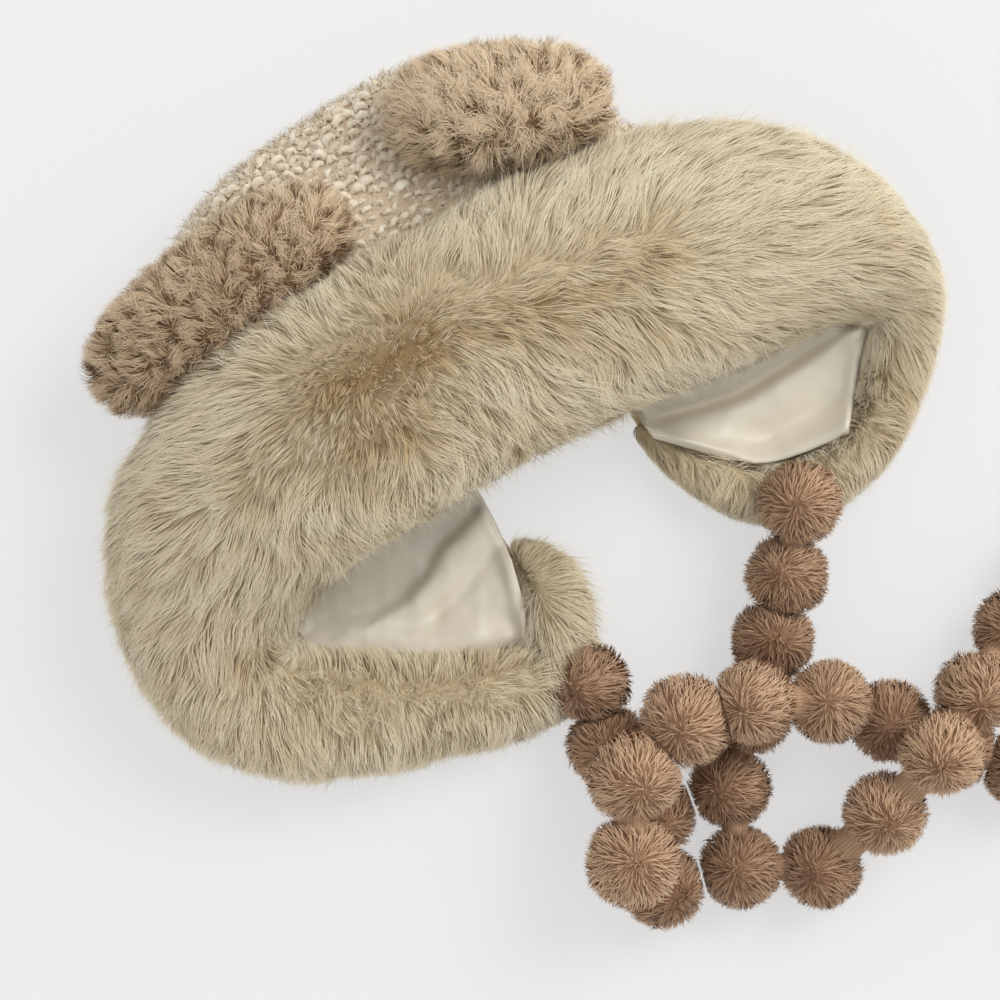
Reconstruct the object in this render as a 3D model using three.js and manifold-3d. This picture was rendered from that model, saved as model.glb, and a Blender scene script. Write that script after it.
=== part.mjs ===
// Knit earflap hat lying on its back: a hollow knit crown with two fluffy ears,
// one long roll of deep fur that runs over the forehead and round both earflaps,
// satin linings inside the flaps, and two ties strung with pompoms.
// Millimetres. +X runs along the forehead roll, +Y from the chin to the top of
// the crown, +Z up from the surface that the hat lies on.
import * as THREE from 'three';
import { mergeVertices } from 'three/addons/utils/BufferGeometryUtils.js';
import Module from 'manifold-3d';

const wasm = await Module();
wasm.setup();

// ---- driving dimensions -------------------------------------------------
const GAP = 0.3;                 // clearance between touching pieces
const SHIFT_X = 0.84;            // puts the origin under the middle of the hat
const SHIFT_Y = 94.39;
const KNIT_WALL = 4;             // thick hand-knit wall of the crown
const MOUTH_Y = -50;             // rim of the crown, where a head goes in
const CROWN_TOP_Y = 104.5;
const SEAM_LEFT_Y = -66;         // where the forehead roll meets the left flap
const SEAM_RIGHT_Y = -86;        // and the right one
const FLAP_PAD = 6;              // flap's padded leaf on the surface
const LINING = 2;                // satin with its backing
const POMPOM_R = 18;             // a pompom that lies free; the uppermost are puffier
const CORD_R = 1.5;
const CORD_SIDES = 5;
const BORE_CLEARANCE = 0.35;

// Stations of the crown from its rim to its top: half width to the left and to
// the right, and height.
const CROWN = [
  { y: -50, half: 121, right: 121, top: 46 },
  { y: -20, half: 123, right: 122, top: 48 },
  { y: 10, half: 122, right: 115, top: 51 },
  { y: 38, half: 118, right: 101, top: 53 },
  { y: 62, half: 108, right: 90, top: 51 },
  { y: 80, half: 92, right: 77, top: 46 },
  { y: 93, half: 70, right: 59, top: 40 },
  { y: 101, half: 42, right: 37, top: 32 },
];

// Soft humps and dents in the upper side of the crown.
const CROWN_FOLDS = [
  { x: -20, y: 66, along: 34, across: 16, rise: 5 },
  { x: 12, y: 40, along: 20, across: 12, rise: -5 },
  { x: -70, y: 30, along: 26, across: 16, rise: -4 },
  { x: 62, y: 20, along: 30, across: 18, rise: 3 },
  { x: -44, y: 92, along: 20, across: 9, rise: 4 },
];

// The fur roll, from the tip of the left flap over the forehead to the front
// edge of the right flap: centre line, half width, and lowest and highest z.
const FUR_ROLL = [
  { x: -30, y: -140, half: 13, low: -2, top: 30 },
  { x: -50, y: -138, half: 20, low: -3, top: 36 },
  { x: -77, y: -128, half: 23, low: -3, top: 39 },
  { x: -102, y: -116, half: 26, low: -3, top: 43 },
  { x: -126, y: -102, half: 29, low: -3, top: 48 },
  { x: -144, y: -86, half: 31, low: -3, top: 54 },
  { x: -151, y: -66, half: 34, low: -3, top: 62 },
  { x: -144, y: -42, half: 41, low: 0, top: 71 },
  { x: -124, y: -20, half: 49, low: 8, top: 82 },
  { x: -95, y: -9, half: 52, low: 24, top: 90 },
  { x: -57, y: -6, half: 54, low: 34, top: 95 },
  { x: -20, y: -8, half: 54, low: 38, top: 96 },
  { x: 20, y: -11, half: 54, low: 38, top: 96 },
  { x: 60, y: -17, half: 54, low: 34, top: 95 },
  { x: 90, y: -23, half: 54, low: 26, top: 92 },
  { x: 114, y: -31, half: 51, low: 12, top: 86 },
  { x: 136, y: -45, half: 45, low: 2, top: 78 },
  { x: 153, y: -63, half: 33, low: -2, top: 68 },
  { x: 160, y: -85, half: 21, low: -3, top: 49 },
  { x: 148, y: -106, half: 16, low: -3, top: 36 },
  { x: 123, y: -126, half: 14, low: -3, top: 30 },
  { x: 98, y: -132, half: 14, low: -3, top: 28 },
  { x: 74, y: -126, half: 14, low: -3, top: 27 },
  { x: 59, y: -107, half: 13, low: -3, top: 26 },
  { x: 49, y: -89, half: 9, low: -2, top: 20 },
  { x: 44, y: -76, half: 5, low: -1, top: 13 },
];
const ROLL_ENDS = { firstCap: 12, lastCap: 5 };

// The left flap's front edge, a thinner roll from its tip up beside the lining.
const LEFT_FRONT_EDGE = [
  { x: -36, y: -136, half: 14, low: -2, top: 34 },
  { x: -24, y: -120, half: 14, low: -2, top: 32 },
  { x: -19, y: -104, half: 11, low: -2, top: 27 },
  { x: -22, y: -89, half: 6, low: -1, top: 17 },
];

// Leaves of the flaps, which lie on the surface under the linings.
const LEAF_LEFT = [
  { x: -118, y: -50.3 }, { x: -28, y: -50.3 }, { x: -28, y: -86 },
  { x: -28, y: -116 }, { x: -48, y: -136 }, { x: -104, y: -112 },
  { x: -134, y: -84 }, { x: -134, y: -66.6 }, { x: -118, y: -66.6 },
];
const LEAF_RIGHT = [
  { x: 44, y: -50.3 }, { x: 118, y: -50.3 }, { x: 118, y: -86.6 },
  { x: 150, y: -86.6 }, { x: 146, y: -104 }, { x: 124, y: -122 },
  { x: 98, y: -130 }, { x: 72, y: -122 }, { x: 52, y: -96 }, { x: 43, y: -76 },
];

// Linings: a patch between an upper edge, under the forehead roll, and a lower
// edge, under the fur of the flap; and the folds that run across it.
const LINING_LEFT = {
  upper: [{ x: -116, y: -52 }, { x: -70, y: -52 }, { x: -25, y: -52 }],
  lower: [{ x: -132, y: -92 }, { x: -86, y: -124 }, { x: -26, y: -132 }],
  folds: [
    { x1: -24, y1: -62, x2: -49, y2: -77, rise: 10, spread: 7 },
    { x1: -49, y1: -77, x2: -74, y2: -84, rise: 7, spread: 8 },
    { x1: -40, y1: -88, x2: -74, y2: -98, rise: 4, spread: 9 },
  ],
};
const LINING_RIGHT = {
  upper: [{ x: 45, y: -52 }, { x: 96, y: -53 }, { x: 140, y: -74 }],
  lower: [{ x: 46, y: -112 }, { x: 84, y: -134 }, { x: 128, y: -128 }],
  folds: [
    { x1: 60, y1: -76, x2: 128, y2: -92, rise: 7, spread: 9 },
    { x1: 78, y1: -104, x2: 118, y2: -104, rise: 4, spread: 12 },
    { x1: 80, y1: -84, x2: 100, y2: -118, rise: 3, spread: 6 },
  ],
};

// Ears: fluffy pads sewn to the crown, flat where they lie on it.
const EARS = [
  { name: 'ear_left', x: -71, y: 63, z: 46, along: 65, across: 28, thick: 25, turn: 4, dip: 9 },
  { name: 'ear_right', x: 63, y: 65, z: 53, along: 45, across: 27, thick: 26, turn: -27, dip: -6 },
];

// Pompoms along the ties, from the flap's tip to the free end: centres.
const POMPOMS_LEFT = [
  { x: -30.6, y: -149.5, z: 21 },
  { x: -38.0, y: -174.4, z: 17.2 },
  { x: -37.5, y: -208.7, z: 17.2 },
  { x: -50.5, y: -235.5, z: 17.2 },
  { x: -54.8, y: -217.0, z: 45, r: 20 },
  { x: -35.9, y: -188.5, z: 48, r: 20 },
  { x: -6.0, y: -181.2, z: 45, r: 20 },
  { x: 20.5, y: -189.7, z: 46 },
  { x: 46.1, y: -207.2, z: 33 },
  { x: 63.3, y: -228.6, z: 18 },
  { x: 80.0, y: -251.5, z: 17.2 },
  { x: 98.6, y: -274.3, z: 17.2 },
];
const POMPOMS_RIGHT = [
  { x: 80.1, y: -133.9, z: 30 },
  { x: 60.1, y: -156.2, z: 22 },
  { x: 41.4, y: -175.1, z: 18 },
  { x: 18.1, y: -195.4, z: 17.2 },
  { x: -5.7, y: -215.7, z: 17.2 },
  { x: -19.7, y: -245.4, z: 17.2 },
  { x: 7.6, y: -263.1, z: 17.2 },
  { x: 40.7, y: -257.0, z: 32 },
  { x: 72.0, y: -247.8, z: 46 },
  { x: 97.9, y: -236.1, z: 32 },
  { x: 126.0, y: -225.2, z: 18 },
  { x: 154.9, y: -213.0, z: 17.2 },
];
// Where each tie is sewn into the tip of its flap.
const SEWN = {
  left: { x: -40, y: -130, z: 16 },
  right: { x: 84, y: -118, z: 20 },
};

// ---- helpers ------------------------------------------------------------
const lerp = (a, b, t) => a + (b - a) * t;

// Smooth interpolation of a table's columns at a fractional row.
function column(rows, key, at) {
  const n = rows.length;
  const i = Math.min(Math.max(Math.floor(at), 0), n - 2);
  const t = at - i;
  const v = (k) => rows[Math.min(Math.max(k, 0), n - 1)][key];
  const [a, b, c, d] = [v(i - 1), v(i), v(i + 1), v(i + 2)];
  return 0.5 * ((2 * b) + (c - a) * t + (2 * a - 5 * b + 4 * c - d) * t * t
    + (3 * b - a - 3 * c + d) * t * t * t);
}

function toSolid(geometry) {
  const g = geometry.clone();
  g.deleteAttribute('normal');
  g.deleteAttribute('uv');
  const m = mergeVertices(g, 1e-4);
  return new wasm.Manifold(new wasm.Mesh({
    numProp: 3,
    vertProperties: new Float32Array(m.attributes.position.array),
    triVerts: new Uint32Array(m.index.array),
  }));
}

function toGeometry(solid) {
  const mesh = solid.getMesh();
  const g = new THREE.BufferGeometry();
  g.setAttribute('position', new THREE.BufferAttribute(new Float32Array(mesh.vertProperties), 3));
  g.setIndex(new THREE.BufferAttribute(new Uint32Array(mesh.triVerts), 1));
  g.computeVertexNormals();
  return g;
}

// A closed body from rings of points: ring 0 and the last one close on their
// middle points.
function ringsBody(rings) {
  const n = rings[0].length;
  const pos = [];
  for (const ring of rings) for (const p of ring) pos.push(p.x, p.y, p.z);
  const mean = (ring) => ring.reduce((s, p) => s.add(p), new THREE.Vector3()).divideScalar(n);
  const a = mean(rings[0]);
  const b = mean(rings[rings.length - 1]);
  const first = pos.length / 3;
  pos.push(a.x, a.y, a.z, b.x, b.y, b.z);
  const idx = [];
  for (let i = 0; i + 1 < rings.length; i++) {
    for (let j = 0; j < n; j++) {
      const k = (j + 1) % n;
      const p = i * n + j, q = i * n + k, r = (i + 1) * n + j, s = (i + 1) * n + k;
      idx.push(p, q, s, p, s, r);
    }
  }
  const last = (rings.length - 1) * n;
  for (let j = 0; j < n; j++) {
    const k = (j + 1) % n;
    idx.push(first, k, j);
    idx.push(first + 1, last + j, last + k);
  }
  const g = new THREE.BufferGeometry();
  g.setAttribute('position', new THREE.Float32BufferAttribute(pos, 3));
  g.setIndex(idx);
  let solid = toSolid(g);
  if (solid.volume() < 0) {
    for (let i = 0; i < idx.length; i += 3) [idx[i + 1], idx[i + 2]] = [idx[i + 2], idx[i + 1]];
    g.setIndex(idx);
    solid = toSolid(g);
  }
  return solid;
}

// A roll of fur along a table of stations, with rounded ends. grow makes the
// same roll larger all round.
function roll(rows, { from = 0, to = rows.length - 1, steps = 2, around = 20, capA = 0, capB = 0, grow = 0 }) {
  const at = (s) => ({
    x: column(rows, 'x', s), y: column(rows, 'y', s),
    half: column(rows, 'half', s) + grow,
    low: column(rows, 'low', s) - grow, top: column(rows, 'top', s) + grow,
  });
  const heading = (s) => {
    const d = 0.05;
    const p = at(Math.max(s - d, 0)), q = at(Math.min(s + d, rows.length - 1));
    return new THREE.Vector2(q.x - p.x, q.y - p.y).normalize();
  };
  const section = (s, shrink, push) => {
    const c = at(s), t = heading(s);
    const mid = c.low + 0.44 * (c.top - c.low);
    const ring = [];
    for (let j = 0; j < around; j++) {
      const a = (j / around) * 2 * Math.PI;
      const cu = Math.sign(Math.cos(a)) * Math.abs(Math.cos(a)) ** 0.88;
      const cz = Math.sign(Math.sin(a)) * Math.abs(Math.sin(a)) ** 0.88;
      const u = c.half * shrink * cu;
      const z = mid + (cz > 0 ? (c.top - mid) : (mid - c.low)) * shrink * cz;
      ring.push(new THREE.Vector3(c.x - t.y * u + t.x * push, c.y + t.x * u + t.y * push, z));
    }
    return ring;
  };
  const rings = [];
  const cap = (s, length, sign, list) => {
    for (const [shrink, far] of [[0.35, 0.94], [0.68, 0.73], [0.9, 0.42]]) {
      list.push(section(s, shrink, sign * (length + grow) * far));
    }
  };
  if (capA) cap(from, capA, -1, rings);
  const count = Math.round((to - from) * steps);
  for (let i = 0; i <= count; i++) rings.push(section(lerp(from, to, i / count), 1, 0));
  if (capB) {
    const tail = [];
    cap(to, capB, 1, tail);
    rings.push(...tail.reverse());
  }
  return ringsBody(rings);
}

const foldHeight = (x, y) => CROWN_FOLDS.reduce((z, f) => z
  + f.rise * Math.exp(-(((x - f.x) / f.along) ** 2) - ((y - f.y) / f.across) ** 2), 0);

// The crown's outer form, filled. inset moves its surface inwards; ahead
// carries its rim on towards the chin.
function crownForm({ inset = 0, floor = 0, ahead = 0, around = 36, folds = true }) {
  const rings = [];
  const last = CROWN.length - 1;
  const section = (y, half, right, top) => {
    const l = Math.max(half - inset, 1), r = Math.max(right - inset, 1);
    const t = top - inset, low = -4;
    const mid = 0.42 * t;
    const ring = [];
    for (let j = 0; j < around; j++) {
      const a = (j / around) * 2 * Math.PI;
      const cx = Math.sign(Math.cos(a)) * Math.abs(Math.cos(a)) ** 0.8;
      const cz = Math.sign(Math.sin(a)) * Math.abs(Math.sin(a)) ** (cxUpper(a) ? 0.72 : 0.6);
      const x = (cx > 0 ? r : l) * cx;
      let z = mid + (cz > 0 ? (t - mid) : (mid - low)) * cz;
      if (folds && cz > 0) z += foldHeight(x, y) * cz;
      ring.push(new THREE.Vector3(x, y, z));
    }
    return ring;
  };
  if (ahead) rings.push(section(MOUTH_Y - ahead, CROWN[0].half, CROWN[0].right, CROWN[0].top));
  const count = last * 2;
  for (let i = 0; i <= count; i++) {
    const s = (i / count) * last;
    rings.push(section(column(CROWN, 'y', s) - inset * (s / last), column(CROWN, 'half', s),
      column(CROWN, 'right', s), column(CROWN, 'top', s)));
  }
  rings.push(section(CROWN_TOP_Y - 1 - inset, 20, 18, 23));
  return ringsBody(rings).trimByPlane([0, 0, 1], floor);
}
function cxUpper(a) { return Math.sin(a) > 0; }

// A flat leaf cut from a polygon.
function leaf(rows, height) {
  const shape = new THREE.Shape(rows.map((p) => new THREE.Vector2(p.x, p.y)));
  return toSolid(new THREE.ExtrudeGeometry(shape, { depth: height, bevelEnabled: false, steps: 1 }));
}

// A lining: a thin wavy sheet between its upper and lower edges.
function liningSheet(patch, z0, cells = { u: 14, v: 9 }) {
  const height = (x, y) => patch.folds.reduce((z, f) => {
    const dx = f.x2 - f.x1, dy = f.y2 - f.y1;
    const t = Math.min(Math.max(((x - f.x1) * dx + (y - f.y1) * dy) / (dx * dx + dy * dy), 0), 1);
    const d = Math.hypot(x - f.x1 - t * dx, y - f.y1 - t * dy);
    return z + f.rise * Math.exp(-((d / f.spread) ** 2));
  }, z0);
  const pos = [];
  const idx = [];
  const w = cells.u + 1;
  for (const side of [0, 1]) {
    for (let i = 0; i <= cells.v; i++) {
      for (let j = 0; j <= cells.u; j++) {
        const s = (j / cells.u) * 2, v = i / cells.v;
        const x = lerp(column(patch.upper, 'x', s), column(patch.lower, 'x', s), v);
        const y = lerp(column(patch.upper, 'y', s), column(patch.lower, 'y', s), v);
        pos.push(x, y, height(x, y) + side * LINING);
      }
    }
  }
  const half = w * (cells.v + 1);
  for (let i = 0; i < cells.v; i++) {
    for (let j = 0; j < cells.u; j++) {
      const p = i * w + j, q = p + 1, r = p + w, s = r + 1;
      idx.push(p, q, s, p, s, r, half + p, half + s, half + q, half + p, half + r, half + s);
    }
  }
  const wall = (p, q) => idx.push(p, half + p, half + q, p, half + q, q);
  for (let j = 0; j < cells.u; j++) {
    wall(j, j + 1);
    wall(cells.v * w + j + 1, cells.v * w + j);
  }
  for (let i = 0; i < cells.v; i++) {
    wall((i + 1) * w, i * w);
    wall(i * w + cells.u, (i + 1) * w + cells.u);
  }
  const g = new THREE.BufferGeometry();
  g.setAttribute('position', new THREE.Float32BufferAttribute(pos, 3));
  g.setIndex(idx);
  let solid = toSolid(g);
  if (solid.volume() < 0) {
    for (let i = 0; i < idx.length; i += 3) [idx[i + 1], idx[i + 2]] = [idx[i + 2], idx[i + 1]];
    g.setIndex(idx);
    solid = toSolid(g);
  }
  return solid;
}

const largest = (solid) => solid.decompose().reduce((a, b) => (a.volume() > b.volume() ? a : b));

function ball(p, r, detail = 2) {
  const g = new THREE.IcosahedronGeometry(r, detail);
  g.rotateX(0.31 + p.x * 0.013);
  g.rotateZ(0.2 + p.y * 0.017);
  g.translate(p.x, p.y, p.z);
  return toSolid(g);
}

// An ear's pad, fuller than an ellipsoid.
const PAD_FULLNESS = 2.6;
function pad({ x, y, z, along, across, thick, turn, dip }, grow = 0) {
  const g = new THREE.SphereGeometry(1, 20, 12);
  const at = g.attributes.position;
  const sum = (...c) => c.reduce((t, v) => t + Math.abs(v) ** PAD_FULLNESS, 0) ** (1 / PAD_FULLNESS);
  for (let i = 0; i < at.count; i++) {
    const k = 1 / sum(at.getX(i), at.getY(i), at.getZ(i));
    at.setXYZ(i, at.getX(i) * k, at.getY(i) * k, at.getZ(i) * k);
  }
  g.scale(along + grow, across + grow, thick + grow);
  g.rotateY(THREE.MathUtils.degToRad(-dip));
  g.rotateZ(THREE.MathUtils.degToRad(turn));
  g.translate(x, y, z);
  return toSolid(g);
}

function cord(points, radius) {
  const path = new THREE.CatmullRomCurve3(points, false, 'centripetal');
  const shape = new THREE.Shape();
  for (let i = 0; i < CORD_SIDES; i++) {
    const a = (i / CORD_SIDES) * 2 * Math.PI;
    const [x, y] = [radius * Math.cos(a), radius * Math.sin(a)];
    if (i === 0) shape.moveTo(x, y); else shape.lineTo(x, y);
  }
  shape.closePath();
  const steps = (points.length - 1) * 2;
  let solid = toSolid(new THREE.ExtrudeGeometry(shape, { steps, bevelEnabled: false, extrudePath: path }));
  if (solid.volume() < 0) throw new Error('cord is inside out');
  return solid;
}

// ---- pieces -------------------------------------------------------------
const vec = (p) => new THREE.Vector3(p.x, p.y, p.z);
const hat = new THREE.Group();
const place = (name, solid, color, roughness) => {
  const material = new THREE.MeshStandardMaterial({ color, roughness, metalness: 0 });
  const mesh = new THREE.Mesh(toGeometry(solid), material);
  mesh.name = name;
  mesh.position.set(SHIFT_X, SHIFT_Y, 0);
  hat.add(mesh);
};

// crown: knit bag, open at the rim
const outside = crownForm({});
const hollow = crownForm({ inset: KNIT_WALL, floor: KNIT_WALL, ahead: 20 });
const crown = outside.subtract(hollow);
// everything that lies round or over the crown keeps clear of this
const crownClear = crownForm({ inset: -GAP, floor: -1, ahead: 50, folds: true });

// forehead roll
const seamCut = (solid, keepAbove, left, right) => {
  const box = (x0, x1, y0, y1) => {
    const g = new THREE.BoxGeometry(x1 - x0, y1 - y0, 400);
    g.translate((x0 + x1) / 2, (y0 + y1) / 2, 0);
    return toSolid(g);
  };
  const below = box(-300, 0, -400, left).add(box(0, 300, -400, right));
  return keepAbove ? solid.subtract(below) : solid.intersect(below);
};
const rollOpts = { steps: 2, around: 18 };
const wholeBand = (grow) => roll(FUR_ROLL, { ...rollOpts, from: 4.5, to: 19.5, grow });
const band = seamCut(wholeBand(0), true, SEAM_LEFT_Y + GAP / 2, SEAM_RIGHT_Y + GAP / 2)
  .subtract(crownClear).trimByPlane([0, 0, 1], 0);
const bandClear = wholeBand(GAP);
const bandWall = wholeBand(GAP + 0.5).subtract(crownForm({ floor: -1, ahead: 50 }));

// pompoms: balls squashed flat where they press on each other and the surface
const all = [
  ...POMPOMS_LEFT.map((p, i) => ({ r: POMPOM_R, ...p, name: `pompom_left_${i + 1}`, side: 'left' })),
  ...POMPOMS_RIGHT.map((p, i) => ({ r: POMPOM_R, ...p, name: `pompom_right_${i + 1}`, side: 'right' })),
];
const tiePoints = {
  left: [vec(SEWN.left), ...POMPOMS_LEFT.map(vec)],
  right: [vec(SEWN.right), ...POMPOMS_RIGHT.map(vec)],
};
const tie = { left: cord(tiePoints.left, CORD_R), right: cord(tiePoints.right, CORD_R) };
const bore = { left: cord(tiePoints.left, CORD_R + BORE_CLEARANCE), right: cord(tiePoints.right, CORD_R + BORE_CLEARANCE) };
const pompoms = all.map((p) => {
  let solid = ball(p, p.r);
  for (const q of all) {
    if (q === p) continue;
    const d = new THREE.Vector3(q.x - p.x, q.y - p.y, q.z - p.z);
    const length = d.length();
    if (length > p.r + q.r + GAP) continue;
    d.divideScalar(length);
    const at = length / 2 + (p.r ** 2 - q.r ** 2) / (2 * length) - GAP / 2 + d.dot(vec(p));
    solid = solid.trimByPlane([-d.x, -d.y, -d.z], -at);
  }
  return { ...p, solid: largest(solid.trimByPlane([0, 0, 1], 0).subtract(bore[p.side])) };
});
const pressed = (solid, names) => all.filter((p) => names.includes(p.name))
  .reduce((s, p) => s.subtract(ball(p, p.r + GAP + 0.1)), solid);

// flaps: fur roll round a padded leaf
const leftRoll = (grow) => seamCut(roll(FUR_ROLL, { ...rollOpts, from: 0, to: 7.5, capA: ROLL_ENDS.firstCap, grow }), false, SEAM_LEFT_Y - GAP / 2, SEAM_RIGHT_Y - GAP / 2);
const leftFront = (grow) => roll(LEFT_FRONT_EDGE, { ...rollOpts, around: 16, capA: 8, capB: 6, grow });
const rightRoll = (grow) => seamCut(roll(FUR_ROLL, { ...rollOpts, from: 16.5, to: FUR_ROLL.length - 1, capB: ROLL_ENDS.lastCap, grow }), false, SEAM_LEFT_Y - GAP / 2, SEAM_RIGHT_Y - GAP / 2);
const flapLeft = pressed(leftRoll(0).add(leftFront(0)).add(leaf(LEAF_LEFT, FLAP_PAD)), ['pompom_left_1', 'pompom_left_2'])
  .subtract(bore.left).trimByPlane([0, 0, 1], 0);
const flapRight = pressed(rightRoll(0).add(leaf(LEAF_RIGHT, FLAP_PAD)), ['pompom_right_1', 'pompom_right_2'])
  .subtract(bore.right).trimByPlane([0, 0, 1], 0);

// linings
const liningLeft = largest(liningSheet(LINING_LEFT, FLAP_PAD + GAP).subtract(leftRoll(GAP)).subtract(leftFront(GAP)).subtract(bandWall));
const liningRight = largest(liningSheet(LINING_RIGHT, FLAP_PAD + GAP).subtract(rightRoll(GAP)).subtract(bandWall).subtract(bore.right));

place('crown', crown, 0xc9b9a0, 0.95);
for (const ear of EARS) {
  const solid = largest(pad(ear).subtract(crownForm({ inset: -GAP, floor: -1 })).subtract(bandClear).trimByPlane([0, 0, 1], 0));
  place(ear.name, solid, 0xb0957a, 0.95);
}
place('fur_band', largest(band), 0xc2b594, 0.95);
place('flap_left', largest(flapLeft), 0xbfb292, 0.95);
place('flap_right', largest(flapRight), 0xbfb292, 0.95);
place('lining_left', liningLeft, 0xe6e2d0, 0.4);
place('lining_right', liningRight, 0xe6e2d0, 0.4);
place('tie_left', tie.left, 0x7d6350, 0.9);
place('tie_right', tie.right, 0x7d6350, 0.9);
for (const p of pompoms) place(p.name, p.solid, 0x9c7f68, 0.95);

export default hat;
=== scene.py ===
import math

import bpy
import numpy as np
from mathutils.kdtree import KDTree
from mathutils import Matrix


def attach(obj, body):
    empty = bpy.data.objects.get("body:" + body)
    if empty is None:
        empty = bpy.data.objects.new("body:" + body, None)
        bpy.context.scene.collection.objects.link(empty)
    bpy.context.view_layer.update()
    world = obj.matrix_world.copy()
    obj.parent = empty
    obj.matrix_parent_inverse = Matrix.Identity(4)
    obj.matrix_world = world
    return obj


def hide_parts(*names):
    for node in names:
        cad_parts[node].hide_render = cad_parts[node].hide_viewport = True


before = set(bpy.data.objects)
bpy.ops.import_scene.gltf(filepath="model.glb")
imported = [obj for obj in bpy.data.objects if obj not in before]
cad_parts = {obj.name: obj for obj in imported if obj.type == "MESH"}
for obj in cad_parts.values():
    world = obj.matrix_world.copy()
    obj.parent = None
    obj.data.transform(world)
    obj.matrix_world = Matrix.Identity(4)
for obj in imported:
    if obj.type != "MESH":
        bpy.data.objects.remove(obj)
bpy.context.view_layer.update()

THIN = 1.0

# ---------------------------------------------------------------- the frame
# Shapes are worked out in millimetres in the hat's own axes (+X along the
# forehead roll, +Y to the top of the crown) and moved to the row frame at the
# end. Places read off the photograph are in its pixels, turned by 33 degrees.
SHIFT = np.array([0.84, 94.39, 0.0])
TURN = math.radians(33.0)
MM_PER_PX = 0.40                   # at 40 mm above the surface
CAMERA_UP = 1500.0                 # mm
MID_U, MID_V = 451.8, 331.3        # the pixel that shows the hat's own (0, 0)
CT, ST = math.cos(TURN), math.sin(TURN)


def turned(du, dv):
    """A step in the photograph's pixels as a step in the hat's axes."""
    return du * CT - dv * ST, -(du * ST + dv * CT)


def hat_xy(u, v, z=60.0):
    """Where a pixel of the photograph lies in the hat's axes, at a height z."""
    k = MM_PER_PX * (CAMERA_UP - z) / (CAMERA_UP - 40.0)
    cx, cy = turned(500 - MID_U, 500 - MID_V)
    dx, dy = turned(np.asarray(u, float) - 500, np.asarray(v, float) - 500)
    return cx * MM_PER_PX + dx * k, cy * MM_PER_PX + dy * k


# ------------------------------------------------------------------- tables
CROWN = dict(
    y=[-50, -20, 10, 38, 62, 80, 93, 101, 104.2],
    half=[121, 123, 122, 118, 108, 92, 70, 42, 1],
    right=[121, 122, 115, 101, 90, 77, 59, 37, 1],
    top=[46, 48, 51, 53, 51, 46, 40, 32, 18],
)
CROWN_FOLDS = [  # x, y, along, across, rise
    (-20, 66, 34, 16, 5), (12, 40, 20, 12, -5), (-70, 30, 26, 16, -4),
    (62, 20, 30, 18, 3), (-44, 92, 20, 9, 4),
]
ROLL = [  # x, y, half, low, top
    (-30, -140, 13, -2, 30), (-50, -138, 20, -3, 36), (-77, -128, 23, -3, 39),
    (-102, -116, 26, -3, 43), (-126, -102, 29, -3, 48), (-144, -86, 31, -3, 54),
    (-151, -66, 34, -3, 62), (-144, -42, 41, 0, 71), (-124, -20, 49, 8, 82),
    (-95, -9, 52, 24, 90), (-57, -6, 54, 34, 95), (-20, -8, 54, 38, 96),
    (20, -11, 54, 38, 96), (60, -17, 54, 34, 95), (90, -23, 54, 26, 92),
    (114, -31, 51, 12, 86), (136, -45, 45, 2, 78), (153, -63, 33, -2, 68),
    (160, -85, 21, -3, 49), (148, -106, 16, -3, 36), (123, -126, 14, -3, 30),
    (98, -132, 14, -3, 28), (74, -126, 14, -3, 27), (59, -107, 13, -3, 26),
    (49, -89, 9, -2, 20), (44, -76, 5, -1, 13),
]
LEFT_FRONT_EDGE = [
    (-38, -135, 15, -2, 31), (-27, -119, 16, -2, 30), (-22, -104, 14, -2, 25),
    (-25, -91, 8, -1, 15),
]
LEAF_LEFT = [(-118, -50.3), (-28, -50.3), (-28, -86), (-28, -116), (-48, -136),
             (-104, -112), (-134, -84), (-134, -66.6), (-118, -66.6)]
LEAF_RIGHT = [(44, -50.3), (118, -50.3), (118, -86.6), (150, -86.6), (146, -104),
              (124, -122), (98, -130), (72, -122), (52, -96), (43, -76)]
EARS = dict(  # x, y, z, along, across, thick, turn, dip
    ear_left=(-70, 60.5, 46, 65, 28, 25, 4, 9),
    ear_right=(63.5, 62.8, 53, 46, 27, 26, -27, -6),
)
POMPOM_R = 18.0
PUFFIER = {("left", 4): 20.0, ("left", 5): 20.0, ("left", 6): 20.0}
POMPOMS = dict(
    left=[(-30.6, -149.5, 21), (-38.0, -174.4, 17.2), (-37.5, -208.7, 17.2),
          (-50.5, -235.5, 17.2), (-54.8, -217.0, 45), (-35.9, -188.5, 48),
          (-6.0, -181.2, 45), (20.5, -189.7, 46), (46.1, -207.2, 33),
          (63.3, -228.6, 18), (80.0, -251.5, 17.2), (98.6, -274.3, 17.2)],
    right=[(80.1, -133.9, 30), (60.1, -156.2, 22), (41.4, -175.1, 18),
           (18.1, -195.4, 17.2), (-5.7, -215.7, 17.2), (-19.7, -245.4, 17.2),
           (7.6, -263.1, 17.2), (40.7, -257.0, 32), (72.0, -247.8, 46),
           (97.9, -236.1, 32), (126.0, -225.2, 18), (154.9, -213.0, 17.2)],
)
SEWN = dict(left=(-40, -130, 16), right=(84, -118, 20))

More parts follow.
